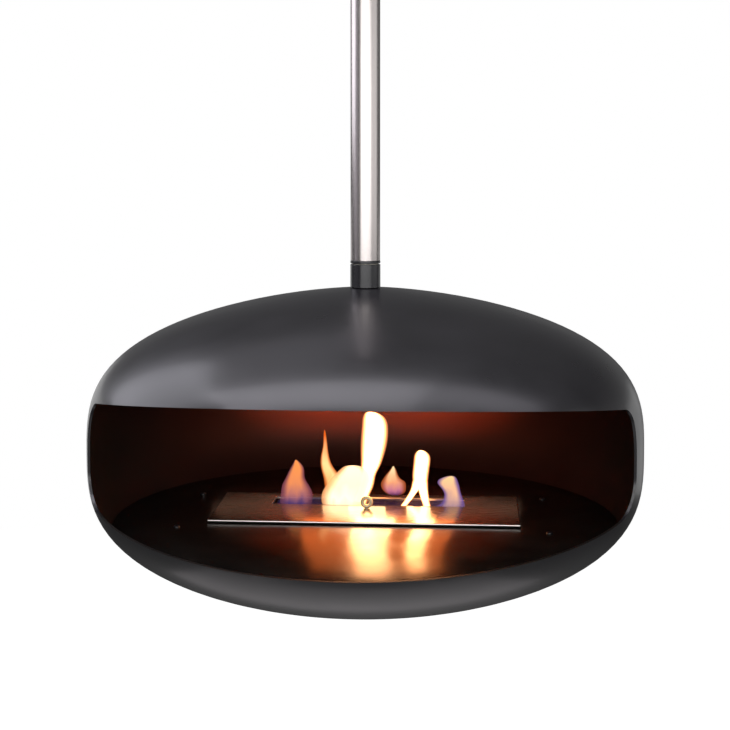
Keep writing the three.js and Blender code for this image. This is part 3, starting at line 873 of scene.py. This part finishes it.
@dataclass
class Swivel:
    """The black collar under the pole, and the bearing inside the pod that carries it."""

    spindle_radius: float = 10 * MM
    spindle_ease: float = 1.5 * MM
    flange_thickness: float = 4.5 * MM
    plug_depth: float = 30 * MM
    plug_ease: float = 1 * MM
    ease: float = 0.6 * MM
    washer_ease: float = 0.1 * MM
    steps: int = 128

    def build(self) -> None:
        """Builds the plug, the washer and the collar, and dresses the bearing."""
        self.plug()
        self.ring("slip_washer", "slip_disc", ACETAL, self.washer_ease)
        self.ring("swivel_collar", "black_collar", COLLAR_HIGHLIGHT, self.ease)
        dress(ZINC, "swivel_hub", "spindle_washer", "spindle_nut", "spindle_locknut")
        dress(BEARING, "bearing_upper_race", "bearing_ball_cage", "bearing_lower_race")

    def plug(self) -> None:
        """Spins the pole's end flange with its plug above and its spindle below."""
        low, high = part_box("pole_plug_spindle")
        rim, ease, tip, end = high.x, self.ease, self.spindle_ease, self.plug_ease
        top = high.z - self.plug_depth
        under = top - self.flange_thickness
        core = POLE_RADIUS - POLE_WALL - SEAT_GAP
        profile = [
            (0.0, low.z), (self.spindle_radius - tip, low.z), (self.spindle_radius, low.z + tip),
            (self.spindle_radius, under), (rim - ease, under), (rim, under + ease), (rim, top - ease),
            (rim - ease, top), (core, top), (core, high.z - end), (core - end, high.z), (0.0, high.z),
        ]
        piece = turned("pole_end_flange", profile, POWDER, self.steps, closed=False)
        settle(piece, "ceiling", POWDER, "pole_plug_spindle")

    def ring(self, node: str, name: str, finish: Finish, ease: float) -> None:
        """Spins a plain ring with eased edges in place of a CAD ring.

        Args:
            node: the CAD node it stands for.
            name: its own name.
            finish: what it is painted with.
            ease: how much comes off its outer edges.
        """
        low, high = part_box(node)
        profile = ring_profile(self.spindle_radius + RUNNING_GAP, high.x, low.z, high.z, ease)
        settle(turned(name, profile, finish, self.steps), "pod", finish, node)


# ------------------------------------------------------------------ pod


@dataclass
class Pod:
    """The flattened round shell of welded and ground steel sheet, with its mouth cut across."""

    radius: float = 475 * MM
    half_height: float = 269.5 * MM
    wall: float = 4 * MM
    fullness: float = 3.1
    rounding: float = 1.57
    spindle_bore: float = 10.5 * MM
    mouth_back: float = 158 * MM
    mouth_top: float = 89 * MM
    mouth_bottom: float = 75 * MM
    mouth_flare: float = math.radians(8)
    top_corner: float = 26 * MM
    bottom_corner: float = 58 * MM
    corner_setback: float = 0.84  # of a corner's radius, because the mouth's edges spread
    past: float = 30 * MM  # how far the mouth's block goes past the pod
    rows: int = 72
    steps: int = 240
    sharp: float = 30.0  # degrees

    def wall_radius(self, height: float, inset: float = 0.0) -> float:
        """Gives the wall's radius at a height.

        Args:
            height: above or below the widest line.
            inset: how far inside the outer face.

        Returns:
            The radius.
        """
        share = min(1.0, abs(height) / (self.half_height - inset))
        return (self.radius - inset) * (1 - share**self.fullness) ** (1 / self.rounding)

    def rows_of(self, inset: float) -> list[tuple[float, float]]:
        """Lists points down one face of the wall.

        Args:
            inset: how far inside the outer face.

        Returns:
            Its radius and height points, from the top to the bottom.
        """
        tall = self.half_height - inset
        heights = [tall * math.sin(math.pi / 2 - math.pi * row / self.rows) for row in range(self.rows + 1)]
        points = [(self.wall_radius(height, inset), POD_CENTRE + height) for height in heights]
        return [(0.0, points[0][1]), *points[1:-1], (0.0, points[-1][1])]

    def mouth_shape(self) -> bmesh.types.BMesh:
        """Makes the block that the mouth takes out: straight across, with round inner corners.

        Returns:
            A bmesh with the block.
        """
        reach, back = self.radius + self.past, -self.mouth_back
        rise = math.tan(self.mouth_flare) * (reach - self.mouth_back)
        shape = box_shape(
            (-reach, -reach, POD_CENTRE - self.mouth_bottom), (reach, back, POD_CENTRE + self.mouth_top)
        )
        for corner in shape.verts:
            if corner.co.y < back - 10 * MM:
                corner.co.z += rise if corner.co.z > POD_CENTRE else -rise
        for sign, size in ((1, self.top_corner), (-1, self.bottom_corner)):
            inner = [edge for edge in edges_along(shape, 0) if edge.verts[0].co.y > back - 0.1 * MM]
            edges = [edge for edge in inner if (edge.verts[0].co.z - POD_CENTRE) * sign > 0]
            round_edges(shape, edges, self.corner_setback * size, 14)
        bmesh.ops.recalc_face_normals(shape, faces=shape.faces)
        return shape

    def build(self) -> None:
        """Spins the shell, gives it its wall, cuts the mouth and the spindle's hole."""
        shape, lining = bmesh.new(), bmesh.new()
        spin_profile(shape, self.rows_of(0.0), self.steps, closed=False)
        spin_profile(lining, self.rows_of(self.wall), self.steps, closed=False)
        bmesh.ops.reverse_faces(lining, faces=lining.faces)
        absorb(shape, lining)
        shell = finish_mesh("pod_shell", shape, POWDER)
        cut(shell, self.mouth_shape(), self.sharp)
        top = POD_CENTRE + self.half_height + 10 * MM
        cut(shell, bar_shape(64, self.spindle_bore, POD_CENTRE, top), self.sharp)
        self.line(shell)
        settle(shell, "pod", POWDER, "upper_dome", "lower_bowl")

    def line(self, shell: bpy.types.Object) -> None:
        """Gives the shell's inner face a darker copy of the powder coat, as painted shade inside the
        chamber.

        Args:
            shell: the pod's shell.
        """
        shell.data.materials.append(CHAMBER_SHADE.material())
        inset = 0.8 * self.wall
        for face in shell.data.polygons:
            reach = math.hypot(face.center.x, face.center.y) / (self.radius - inset)
            rise = abs(face.center.z - POD_CENTRE) / (self.half_height - inset)
            if reach**self.rounding + rise**self.fullness < 1.0:
                face.material_index = 1


# ------------------------------------------------------------------ hearth


@dataclass
class Hearth:
    """The flat floor of the pod, its screws and brackets, and the tray under the burner."""

    pod: Pod
    rim_ease: float = 0.3 * MM
    cutout_half_length: float = 219 * MM
    cutout_half_width: float = 90 * MM
    cutout_corner: float = 3 * MM
    burner_offset: float = 43 * MM
    screw_radius: float = 3 * MM
    screw_ease: float = 0.5 * MM
    head_radius: float = 5.5 * MM
    head_height: float = 3 * MM
    hex_radius: float = 2.3 * MM
    hex_depth: float = 1.6 * MM

    def build(self) -> None:
        """Builds the plate and the screws, and dresses what is under them."""
        self.plate()
        for number in range(1, 5):
            self.screw(number)
        dress(ZINC, *numbered("hearth_bracket"), "spill_tray")

    def plate(self) -> None:
        """Makes the round plate, with the burner's cut-out and four screw holes."""
        low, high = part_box("hearth_plate")
        radius = self.pod.wall_radius(low.z - SEAT_GAP - POD_CENTRE, self.pod.wall + SEAT_GAP)
        shape = bar_shape(240, radius, low.z, high.z)
        round_edges(shape, level_edges(shape), self.rim_ease, 2)
        plate = finish_mesh("hearth_floor", shape, LACQUER)
        deep, over = low.z - PAST, high.z + PAST
        hollow = box_shape(
            (-self.cutout_half_length, self.burner_offset - self.cutout_half_width, deep),
            (self.cutout_half_length, self.burner_offset + self.cutout_half_width, over),
        )
        round_edges(hollow, edges_along(hollow, 2), self.cutout_corner, 4)
        cut(plate, hollow)
        for node in numbered("hearth_screw"):
            cut(plate, bar_shape(24, self.screw_radius + SEAT_GAP, deep, over, upright(node)))
        settle(plate, "pod", LACQUER, "hearth_plate")

    def screw(self, number: int) -> None:
        """Makes a button-head screw with a hexagon socket.

        Args:
            number: which of the four screws it is.
        """
        node = f"hearth_screw_{number}"
        low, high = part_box(node)
        seat, ease = high.z - self.head_height, self.screw_ease
        rise = self.head_height - ease
        dome = [
            (self.head_radius * math.cos(turn) ** 0.8, seat + ease + rise * math.sin(turn))
            for turn in (step * math.pi / 18 for step in range(9))
        ]
        profile = [
            (0.0, low.z), (self.screw_radius - ease, low.z), (self.screw_radius, low.z + ease),
            (self.screw_radius, seat), (self.head_radius, seat), *dome, (0.0, high.z),
        ]
        head = turned(f"button_screw_{number}", profile, POWDER, 40, closed=False, place=upright(node))
        cut(head, bar_shape(6, self.hex_radius, high.z - self.hex_depth, high.z + 1 * MM, upright(node)))
        settle(head, "pod", POWDER, node)


# ------------------------------------------------------------------ burner and regulator


@dataclass
class Burner:
    """The stainless plate with its long slot, the tank under it, and the sliding lid."""

    plate_corner: float = 2 * MM
    plate_ease: float = 1.9 * MM
    edge_tilt: float = 0.97  # a face counts as an edge where its normal is less upright than this
    slot_half_length: float = 171 * MM
    slot_front: float = 63 * MM
    slot_back: float = 122 * MM
    slot_corner: float = 1.5 * MM
    slot_ease: float = 1.2 * MM
    notch_half_width: float = 3.3 * MM
    notch_front: float = 29.7 * MM
    tapping_radius: float = 2.3 * MM
    tapping_depth: float = 2.8 * MM
    ring_radius: float = 11 * MM
    ring_eye: float = 4.3 * MM
    stud_radius: float = 2.5 * MM
    stud_ease: float = 0.3 * MM
    foot_ease: float = 0.4 * MM

    def build(self) -> None:
        """Builds the plate and the ring pull, and dresses the tank, wick, rails and lid."""
        self.plate()
        self.ring_pull()
        self.foot()
        dress(PLATE_STEEL, "fuel_tank", "lid_rail_left", "lid_rail_right", "regulator_lid")
        dress(WICK_BOARD, "ceramic_wick")
        dress(PAD_WEAVE, *numbered("burner_pad"))
        dress(ZINC, *numbered("rail_screw"), "ring_pull_nut")

    def slot_shape(self, low: float, high: float) -> bmesh.types.BMesh:
        """Makes a block of the slot's outline.

        Args:
            low: where it starts along Z.
            high: where it ends along Z.

        Returns:
            A bmesh with the block.
        """
        shape = box_shape(
            (-self.slot_half_length, self.slot_front, low), (self.slot_half_length, self.slot_back, high)
        )
        round_edges(shape, edges_along(shape, 2), self.slot_corner, 4)
        return shape

    def plate(self) -> None:
        """Makes the plate, with eased edges, the slot, the pull's notch and the tapped holes."""
        low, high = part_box("burner_plate")
        shape = box_shape(low, high)
        round_edges(shape, edges_along(shape, 2), self.plate_corner, 5)
        round_edges(shape, level_edges(shape), self.plate_ease, 5)
        plate = finish_mesh("burner_top", shape, PLATE_STEEL)
        deep, over = low.z - PAST, high.z + PAST
        cut(plate, self.slot_shape(deep, over))
        middle = (self.slot_front + self.slot_back) / 2
        bevel = self.slot_shape(high.z - self.slot_ease, high.z + self.slot_ease)
        for point in bevel.verts:
            if point.co.z > high.z:
                point.co.x += math.copysign(2 * self.slot_ease, point.co.x)
                point.co.y += math.copysign(2 * self.slot_ease, point.co.y - middle)
        cut(plate, bevel)
        aside = self.notch_half_width
        cut(plate, box_shape((-aside, self.notch_front, deep), (aside, middle, over)))
        for node in numbered("rail_screw"):
            cut(plate, bar_shape(24, self.tapping_radius, deep, low.z + self.tapping_depth, upright(node)))
        # Side and eased faces take the edge steel, whose lighter colour is a painted highlight along the
        # edges.
        plate.data.materials.append(EDGE_HIGHLIGHT_STEEL.material())
        for face in plate.data.polygons:
            if abs(face.normal.z) < self.edge_tilt:
                face.material_index = 1
        settle(plate, "burner", PLATE_STEEL, "burner_plate")

    def ring_pull(self) -> None:
        """Spins the ring, turns it to face the front and joins its stud below."""
        low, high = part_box("ring_pull")
        tube = (self.ring_radius - self.ring_eye) / 2
        middle = self.ring_radius - tube
        centre = Vector((0, (low.y + high.y) / 2, high.z - self.ring_radius))
        section = [
            (middle + tube * math.cos(turn), tube * math.sin(turn))
            for turn in (step * math.tau / 24 for step in range(24))
        ]
        shape = bmesh.new()
        spin_profile(shape, section, 64, closed=True)
        face_front = Matrix.Rotation(math.pi / 2, 3, "X")
        bmesh.ops.rotate(shape, cent=(0, 0, 0), matrix=face_front, verts=shape.verts)
        bmesh.ops.translate(shape, vec=centre, verts=shape.verts)
        stand = Matrix.Translation((0, centre.y, 0))
        stud = bar_shape(32, self.stud_radius, low.z, centre.z - middle, stand)
        round_edges(stud, level_edges(stud), self.stud_ease, 2)
        absorb(shape, stud)
        settle(finish_mesh("ring_handle", shape, RING_STEEL_FIRELIGHT), "regulator", RING_STEEL_FIRELIGHT, "ring_pull")

    def foot(self) -> None:
        """Spins the small foot that the ring stands on."""
        low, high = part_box("ring_pull_foot")
        ease, bore = self.foot_ease, self.stud_radius + SEAT_GAP
        profile = ring_profile(bore, (high.x - low.x) / 2, low.z, high.z, ease, ease / 2)
        place = Matrix.Translation((0, (low.y + high.y) / 2, 0))
        foot = turned("ring_foot", profile, RING_STEEL_FIRELIGHT, 64, place=place)
        settle(foot, "regulator", RING_STEEL_FIRELIGHT, "ring_pull_foot")


# ------------------------------------------------------------------ fire


@dataclass(frozen=True)
class Ring:
    """One level cut through a flame, in millimetres."""

    rise: float  # above the pod's widest line
    left: float
    right: float
    y: float
    depth: float = 0.0  # half of it; slimmer than the width unless it is set

    @property
    def centre(self) -> Vector:
        """Returns the ring's centre in metres."""
        return Vector(((self.left + self.right) / 2 * MM, self.y * MM, POD_CENTRE + self.rise * MM))

    @property
    def half_width(self) -> float:
        """Returns half the ring's width in metres."""
        return max(0.4, (self.right - self.left) / 2) * MM

    @property
    def half_depth(self) -> float:
        """Returns half the ring's depth in metres."""
        return (self.depth or min(0.75 * self.half_width / MM, 15.0)) * MM


def strand(*rows: tuple[float, ...], y: float = 92.0) -> tuple[Ring, ...]:
    """Makes a strand's rings, each from its rise, left, right and, where it is set, its depth."""
    return tuple(Ring(rise, left, right, y, *depth) for rise, left, right, *depth in rows)


def loft(shape: bmesh.types.BMesh, rings: Sequence[Ring], segments: int) -> None:
    """Grows a closed flame ring by ring, and notes how far along and how far aside each point is.

    Args:
        shape: the bmesh that gets the flame.
        rings: the level cuts, from the foot to the tip.
        segments: how many points each ring has.
    """
    layers = shape.verts.layers.float
    rise = layers.get("rise") or layers.new("rise")
    side = layers.get("side") or layers.new("side")
    first = rings[0]
    ring = bmesh.ops.create_circle(shape, cap_ends=True, radius=1.0, segments=segments)["verts"]
    bmesh.ops.scale(shape, vec=(first.half_width, first.half_depth, 1.0), verts=ring)
    bmesh.ops.translate(shape, vec=first.centre, verts=ring)
    members = set(ring)
    edges = [edge for edge in shape.edges if set(edge.verts) <= members]
    for number, here in enumerate(rings):
        if number:
            before = rings[number - 1]
            grown = bmesh.ops.extrude_edge_only(shape, edges=edges)["geom"]
            ring = [part for part in grown if isinstance(part, bmesh.types.BMVert)]
            members = set(ring)
            sides = [part for part in grown if isinstance(part, bmesh.types.BMEdge)]
            edges = [edge for edge in sides if set(edge.verts) <= members]
            stretch = (here.half_width / before.half_width, here.half_depth / before.half_depth, 1.0)
            bmesh.ops.scale(shape, vec=stretch, verts=ring, space=Matrix.Translation(-before.centre))
            bmesh.ops.translate(shape, vec=here.centre - before.centre, verts=ring)
        for point in ring:
            point[rise] = number / (len(rings) - 1)
            point[side] = abs(point.co.x - here.centre.x) / here.half_width
    bmesh.ops.contextual_create(shape, geom=edges)


PALE = Flame(
    title="flame_pale", foot="#4A3A7A", low="#9A6070", middle="#F0905A", tip="#FF9A50", side="#8A4A5A",
    glow=1.2, body=0.68, fringe=0.3, foot_body=0.5,
)
THIN = Flame(
    title="flame_thin", low="#F0A050", middle="#FFD890", tip="#E06018", side="#D8682A",
    glow=1.25, body=0.9, fringe=0.4, foot_body=0.8,
)
HOT = Flame(
    title="flame_hot", foot="#FFAC68", low="#FFAC68", middle="#FFAE6A", tip="#FFAC68", side="#6A3A22",
    glow=11.0, body=0.99, fringe=0.15, foot_body=0.8,
)
CREAM = Flame(
    title="flame_cream", foot="#FFC89A", low="#FFDCB0", middle="#FFCFA0", tip="#FFD8A8", side="#C88A5A",
    glow=2.2, body=0.95, fringe=0.35, foot_body=0.9,
)
RED = Flame(
    title="flame_red", foot="#6A3A6A", low="#C0708A", middle="#F0A070", tip="#FFE0A8", side="#B0542A",
    glow=1.2, body=0.85, fringe=0.35, foot_body=0.6,
)
HOOK = Flame(
    title="flame_hook", foot="#3A3A9A", low="#B08A90", middle="#F0B890", tip="#FFD090", side="#7A5A9A",
    glow=1.2, body=0.85, fringe=0.4, foot_body=0.5,
)
VEIL = Flame(
    title="flame_veil", foot="#2A2458", low="#3A2A5A", middle="#3A2440", tip="#241428", side="#30306A",
    glow=0.8, body=0.35, fringe=0.2, foot_body=1.0,
)

# Each tongue's name, finish and strands, from left to right along the slot.
TONGUES = (
    ("flame_1", PALE, strand(
        (-137, -160, -103), (-126, -162, -102), (-115, -160, -100), (-104, -159, -104), (-95, -157, -110),
        (-85, -151, -117), (-74, -146, -117), (-65, -141, -118), (-58, -137, -123), (-51, -134, -131),
    )),
    ("flame_2", THIN, strand(
        (-125, -80, -42), (-112, -80, -42), (-99, -81, -44), (-86, -82, -50), (-74, -86, -60),
        (-60, -89, -70), (-45, -88, -73), (-29, -84, -76), (-13, -83, -78), (3, -82, -80), y=101,
    )),
    ("flame_3", HOT, strand(
        (-137, -36, -4), (-120, -32, -1), (-110, -28, 3), (-99, -24, 8), (-85, -21, 11),
        (-74, -17, 13), (-60, -14, 22), (-43, -15, 27), (-27, -15, 31), (-9, -14, 34),
        (7, -13, 35), (19, -12, 34), (28, -11, 29), (34, -8, 19), (37, -5, 8),
    )),
    ("flame_3_lobe", CREAM, strand(
        (-137, -82, -14), (-124, -86, -10), (-113, -86, -6), (-103, -83, -3), (-94, -76, 1),
        (-83, -69, 4), (-74, -60, 3), (-65, -50, -2), (-59, -43, -16), y=84,
    )),
    ("flame_4", RED, strand(
        (-112, 36, 58), (-108, 28, 66), (-101, 22, 67), (-93, 21, 67), (-88, 23, 66),
        (-85, 25, 58), (-77, 30, 52), (-70, 36, 50), (-65, 40, 48), (-60, 43, 45),
    )),
    ("flame_5", HOT, strand(
        (-95, 80, 104), (-85, 78, 106), (-74, 78, 107), (-61, 79, 109),
        (-49, 80, 111), (-40, 81, 110), (-34, 85, 104), (-31, 90, 97),
    ), strand(
        (-137, 53, 64), (-128, 60, 71), (-119, 66, 78), (-110, 71, 84),
        (-101, 75, 91), (-92, 77, 97), (-82, 78, 102),
    ), strand(
        (-137, 99, 113), (-128, 96, 110), (-119, 93, 108), (-110, 90, 107),
        (-101, 87, 106), (-92, 83, 106), (-82, 80, 106),
    )),
    ("flame_6", HOOK, strand(
        (-137, 106, 172), (-133, 118, 172), (-127, 130, 172), (-118, 134, 169), (-110, 136, 166),
        (-102, 133, 164), (-95.5, 128, 163), (-90, 122.5, 161.5), (-85, 123, 160), (-81, 130, 158),
        (-77, 141, 155),
    )),
    ("flame_veil", VEIL, strand(
        (-137, -168, 168, 22), (-131, -169, 169, 22), (-126, -167, 168, 14), (-119, -160, 166, 5),
    )),
)


@dataclass
class Fire:
    """The flames that stand in the burner's slot."""

    segments: int = 20
    smoothing: int = 2
    ripple: float = 1.0 * MM
    ripple_scale: float = 60.0
    slot_middle: float = 92.5 * MM
    low_level: float = -1.021  # just over the wick, under the shut lid and its pull
    low_share: float = 0.01

    def build(self) -> None:
        """Builds each tongue, ripples it and hangs it on the burner."""
        for name, finish, *strands in TONGUES:
            shape = bmesh.new()
            for rings in strands:
                loft(shape, rings, self.segments)
            bmesh.ops.recalc_face_normals(shape, faces=shape.faces)
            flame = finish_mesh(name, shape, finish, 180.0)
            smooth = flame.modifiers.new("smooth", "SUBSURF")
            smooth.levels = smooth.render_levels = self.smoothing
            apply_modifiers(flame)
            self.flicker(flame)
            shade(flame, 180.0)
            settle(flame, "burner", finish)
            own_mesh(flame)

    def flicker(self, flame: bpy.types.Object) -> None:
        """Moves a flame's surface in and out a little, as rising hot gas does.

        Args:
            flame: the flame's object.
        """
        for point in flame.data.vertices:
            stretched = Vector((point.co.x, point.co.y, 0.45 * point.co.z)) * self.ripple_scale
            point.co.x += self.ripple * noise.noise(stretched)
            point.co.y += 0.5 * self.ripple * noise.noise(stretched + Vector((7.0, 3.0, 1.0)))


# ------------------------------------------------------------------ studio


def stand(piece: bpy.types.Object, glossy: bool = True, diffuse: bool = True) -> None:
    """Puts a lamp or the floor into the scene.

    Args:
        piece: its object.
        glossy: whether shiny faces mirror it.
        diffuse: whether dull faces are lit by it.
    """
    piece.visible_glossy = glossy
    piece.visible_diffuse = diffuse
    bpy.context.scene.collection.objects.link(piece)


def burn(piece: bpy.types.Object) -> None:
    """Lets a lamp move with the burner, and go out as the lid shuts the slot.

    Args:
        piece: the lamp's object.
    """
    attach(piece, "burner")
    power = piece.data.energy
    curve = piece.data.driver_add("energy")
    curve.modifiers[0].coefficients = (power, -power / LID_TRAVEL)  # a straight line down to nothing
    curve.driver.type = "SUM"
    travel = curve.driver.variables.new()
    travel.type = "LOC_DIFF"
    for target, node in zip(travel.targets, ("burner_plate", "regulator_lid")):
        target.id = bpy.data.objects[node].parent


@dataclass
class Softbox:
    """One soft studio lamp."""

    name: str
    place: tuple[float, float, float]
    aim: tuple[float, float, float]
    size: tuple[float, float]
    power: float
    colour: str = "#FFFFFF"
    glossy: bool = True
    diffuse: bool = True
    spread: float = 180.0  # degrees
    fire: bool = False  # whether it stands for the flames' own light

    def build(self) -> None:
        """Hangs the lamp and points it."""
        lamp = bpy.data.lights.new(self.name, "AREA")
        lamp.shape = "RECTANGLE"
        lamp.size, lamp.size_y = self.size
        lamp.energy = self.power
        lamp.color = linear(self.colour)[:3]
        lamp.spread = math.radians(self.spread)
        piece = bpy.data.objects.new(self.name, lamp)
        piece.location = self.place
        way = Vector(self.aim) - Vector(self.place)
        piece.rotation_euler = way.to_track_quat("-Z", "Y").to_euler()
        piece.visible_camera = False
        stand(piece, self.glossy, self.diffuse)
        if self.fire:
            burn(piece)


MIDDLE = (0.0, 0.0, POD_CENTRE)

SOFTBOXES = (
    Softbox("key_left", (-2.15, 0.45, 0.5), MIDDLE, (2.0, 1.9), 29.0, "#F6F5FF"),
    Softbox("top_left", (-0.55, -0.6, 1.0), (-0.55, -0.6, 0.0), (2.3, 1.0), 30.0, "#F8F5FF"),
    Softbox("top_back", (-1.0, 0.75, 1.0), (-1.0, 0.75, 0.0), (1.6, 1.4), 3.2, "#F8F5FF"),
    Softbox("top_right", (1.7, -0.45, 1.0), (1.7, -0.45, 0.0), (2.0, 0.8), 11.0, "#F8F4FF"),
    Softbox("floor_bounce", (-0.15, 0.25, -2.4), (-0.15, 0.25, 0.0), (2.2, 1.4), 4.7, "#FFF8FC"),
    Softbox("rim_left", (-2.2, 2.6, -1.2), MIDDLE, (1.6, 1.2), 5.0),
    Softbox("rim_right", (2.2, 2.6, -1.2), MIDDLE, (1.6, 1.2), 3.0),
    Softbox("front", (0.9, -3.4, -0.25), (0.9, 0.0, -0.3), (6.2, 1.3), 77.0),
    Softbox("front_high", (0.2, -2.2, 0.9), (0.0, 0.0, -0.57), (2.6, 1.5), 32.0),
    Softbox("strip_left", (-2.9, -0.9, -0.2), (0.0, 0.0, -0.25), (1.8, 1.2), 2.2, "#F4F0FF"),
    Softbox("strip_right", (2.9, -0.6, -0.2), (0.0, 0.0, -0.25), (3.0, 1.2), 12.0),
    Softbox(
        "fire_back", (0.0, 0.13, -0.9), (0.0, 0.5, -0.76), (0.4, 0.04), 14.0, "#FF5224",
        glossy=False, spread=64.0, fire=True,
    ),
    Softbox(
        "back_wall", (-0.02, 0.28, -0.94), (-0.02, -1.0, -1.0), (0.6, 0.07), 0.022, "#FFC2A0",
        diffuse=False, fire=True,
    ),
    Softbox("ember", (0.0, 0.13, -0.95), (0.0, 0.5, -0.86), (0.34, 0.1), 0.8, "#FF4418", fire=True),
)

# Lamps that stand where the flames do and face the front: name, place, size, power, colour, and
# whether dull faces are lit by it.
FIRE_LAMPS = (
    ("fire_column", (0.01, 0.06, -0.84), (0.07, 0.26), 0.85, "#FFB478", True),
    ("fire_spur", (0.1, 0.06, -0.86), (0.034, 0.22), 0.36, "#FFB070", True),
    ("foot_column", (-0.002, 0.0625, -0.986), (0.066, 0.034), 0.028, "#FFD8A0", False),
    ("foot_lobe", (-0.058, 0.0625, -0.986), (0.046, 0.034), 0.009, "#FFCC98", False),
    ("foot_spur", (0.09, 0.0625, -0.986), (0.042, 0.034), 0.018, "#FFD8A0", False),
    ("fire_halo", (0.018, 0.058, -0.86), (0.27, 0.22), 0.45, "#FF7C38", True),
)


@dataclass
class Studio:
    """The camera, the lamps, the pale floor and the pale surroundings."""

    distance: float = 2.5083
    azimuth: float = 0.0706
    height: float = 0.4789
    pitch: float = math.radians(3.0)
    focal_px: float = 1458.8
    shift_x: float = -0.0005
    shift_y: float = -0.1683
    frame_px: int = 730
    sensor: float = 36.0  # millimetres
    floor_level: float = -3.2
    floor_radius: float = 9.0

    def build(self) -> None:
        """Sets up the whole studio."""
        self.camera()
        self.lamps()
        self.floor()
        self.surroundings()
        bpy.context.scene.view_settings.view_transform = "Standard"

    def camera(self) -> None:
        """Places the camera where the photograph was taken from."""
        lens = bpy.data.cameras.new("camera")
        lens.sensor_width = self.sensor
        lens.lens = self.sensor * self.focal_px / self.frame_px
        lens.shift_x, lens.shift_y = self.shift_x, self.shift_y
        camera = bpy.data.objects.new("camera", lens)
        camera.location = (
            self.distance * math.sin(self.azimuth),
            -self.distance * math.cos(self.azimuth),
            POD_CENTRE + self.height,
        )
        camera.rotation_euler = (math.pi / 2 - self.pitch, 0.0, self.azimuth)
        bpy.context.scene.collection.objects.link(camera)
        bpy.context.scene.camera = camera

    def lamps(self) -> None:
        """Hangs the soft lamps round the pod and in the fire, and a warm glow between the flames."""
        for box in SOFTBOXES:
            box.build()
        for name, place, size, power, colour, diffuse in FIRE_LAMPS:
            aim = (place[0], -1.0, place[2])
            Softbox(name, place, aim, size, power, colour, diffuse=diffuse, fire=True).build()
        lamp = bpy.data.lights.new("fire_glow", "POINT")
        lamp.energy = 0.3
        lamp.color = linear("#FF8A44")[:3]
        lamp.shadow_soft_size = 50 * MM
        glow = bpy.data.objects.new("fire_glow", lamp)
        glow.location = (0.0, 0.092, -0.905)
        glow.visible_camera = False
        stand(glow, glossy=False)
        burn(glow)

    def floor(self) -> None:
        """Lays a wide pale floor under the pod."""
        shape = bmesh.new()
        bmesh.ops.create_circle(shape, cap_ends=True, radius=self.floor_radius, segments=96)
        bmesh.ops.translate(shape, vec=(0, 0, self.floor_level), verts=shape.verts)
        mesh = bpy.data.meshes.new("pale_floor")
        shape.to_mesh(mesh)
        shape.free()
        paint = bpy.data.materials.new("pale_studio_floor")
        paint.use_nodes = True
        sockets = paint.node_tree.nodes["Principled BSDF"].inputs
        sockets["Base Color"].default_value = linear("#E4E4E4")
        sockets["Roughness"].default_value = 0.9
        sockets["Emission Color"].default_value = linear("#FFFFFF")
        sockets["Emission Strength"].default_value = 0.9
        mesh.materials.append(paint)
        floor = bpy.data.objects.new("pale_floor", mesh)
        stand(floor, glossy=False, diffuse=False)

    def surroundings(self) -> None:
        """Makes the room white to look at, and a dim soft gradient to light the object."""
        world = bpy.data.worlds.new("studio")
        world.use_nodes = True
        tree = world.node_tree
        tree.nodes.clear()
        way = add_node(tree, "ShaderNodeTexCoord").outputs["Generated"]
        rise = add_node(tree, "ShaderNodeSeparateXYZ", links={"Vector": way}).outputs["Z"]
        share = add_node(tree, "ShaderNodeMapRange", {"From Min": -1.0, "From Max": 1.0}, {"Value": rise})
        dim = add_node(tree, "ShaderNodeValToRGB", links={"Fac": share.outputs["Result"]})
        set_stops(dim, [(0.0, 0.25), (0.3, 0.05), (0.46, 0.12), (0.54, 0.2), (0.7, 0.08), (1.0, 0.25)])
        room = add_node(tree, "ShaderNodeBackground", links={"Color": dim.outputs["Color"]})
        white = add_node(tree, "ShaderNodeBackground", {"Color": (1.0, 1.0, 1.0, 1.0), "Strength": 1.0})
        seen = add_node(tree, "ShaderNodeLightPath").outputs["Is Camera Ray"]
        mix = add_node(
            tree, "ShaderNodeMixShader",
            links={0: seen, 1: room.outputs["Background"], 2: white.outputs["Background"]},
        )
        add_node(tree, "ShaderNodeOutputWorld", links={"Surface": mix.outputs["Shader"]})
        bpy.context.scene.world = world


def main() -> None:
    """Builds the studio and each sub-assembly in order."""
    logging.basicConfig(level=logging.INFO, format="%(name)s: %(message)s")
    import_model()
    Studio().build()
    CeilingFitting().build()
    Swivel().build()
    pod = Pod()
    pod.build()
    Hearth(pod).build()
    Burner().build()
    Fire().build()


if __name__ == "__main__":
    main()
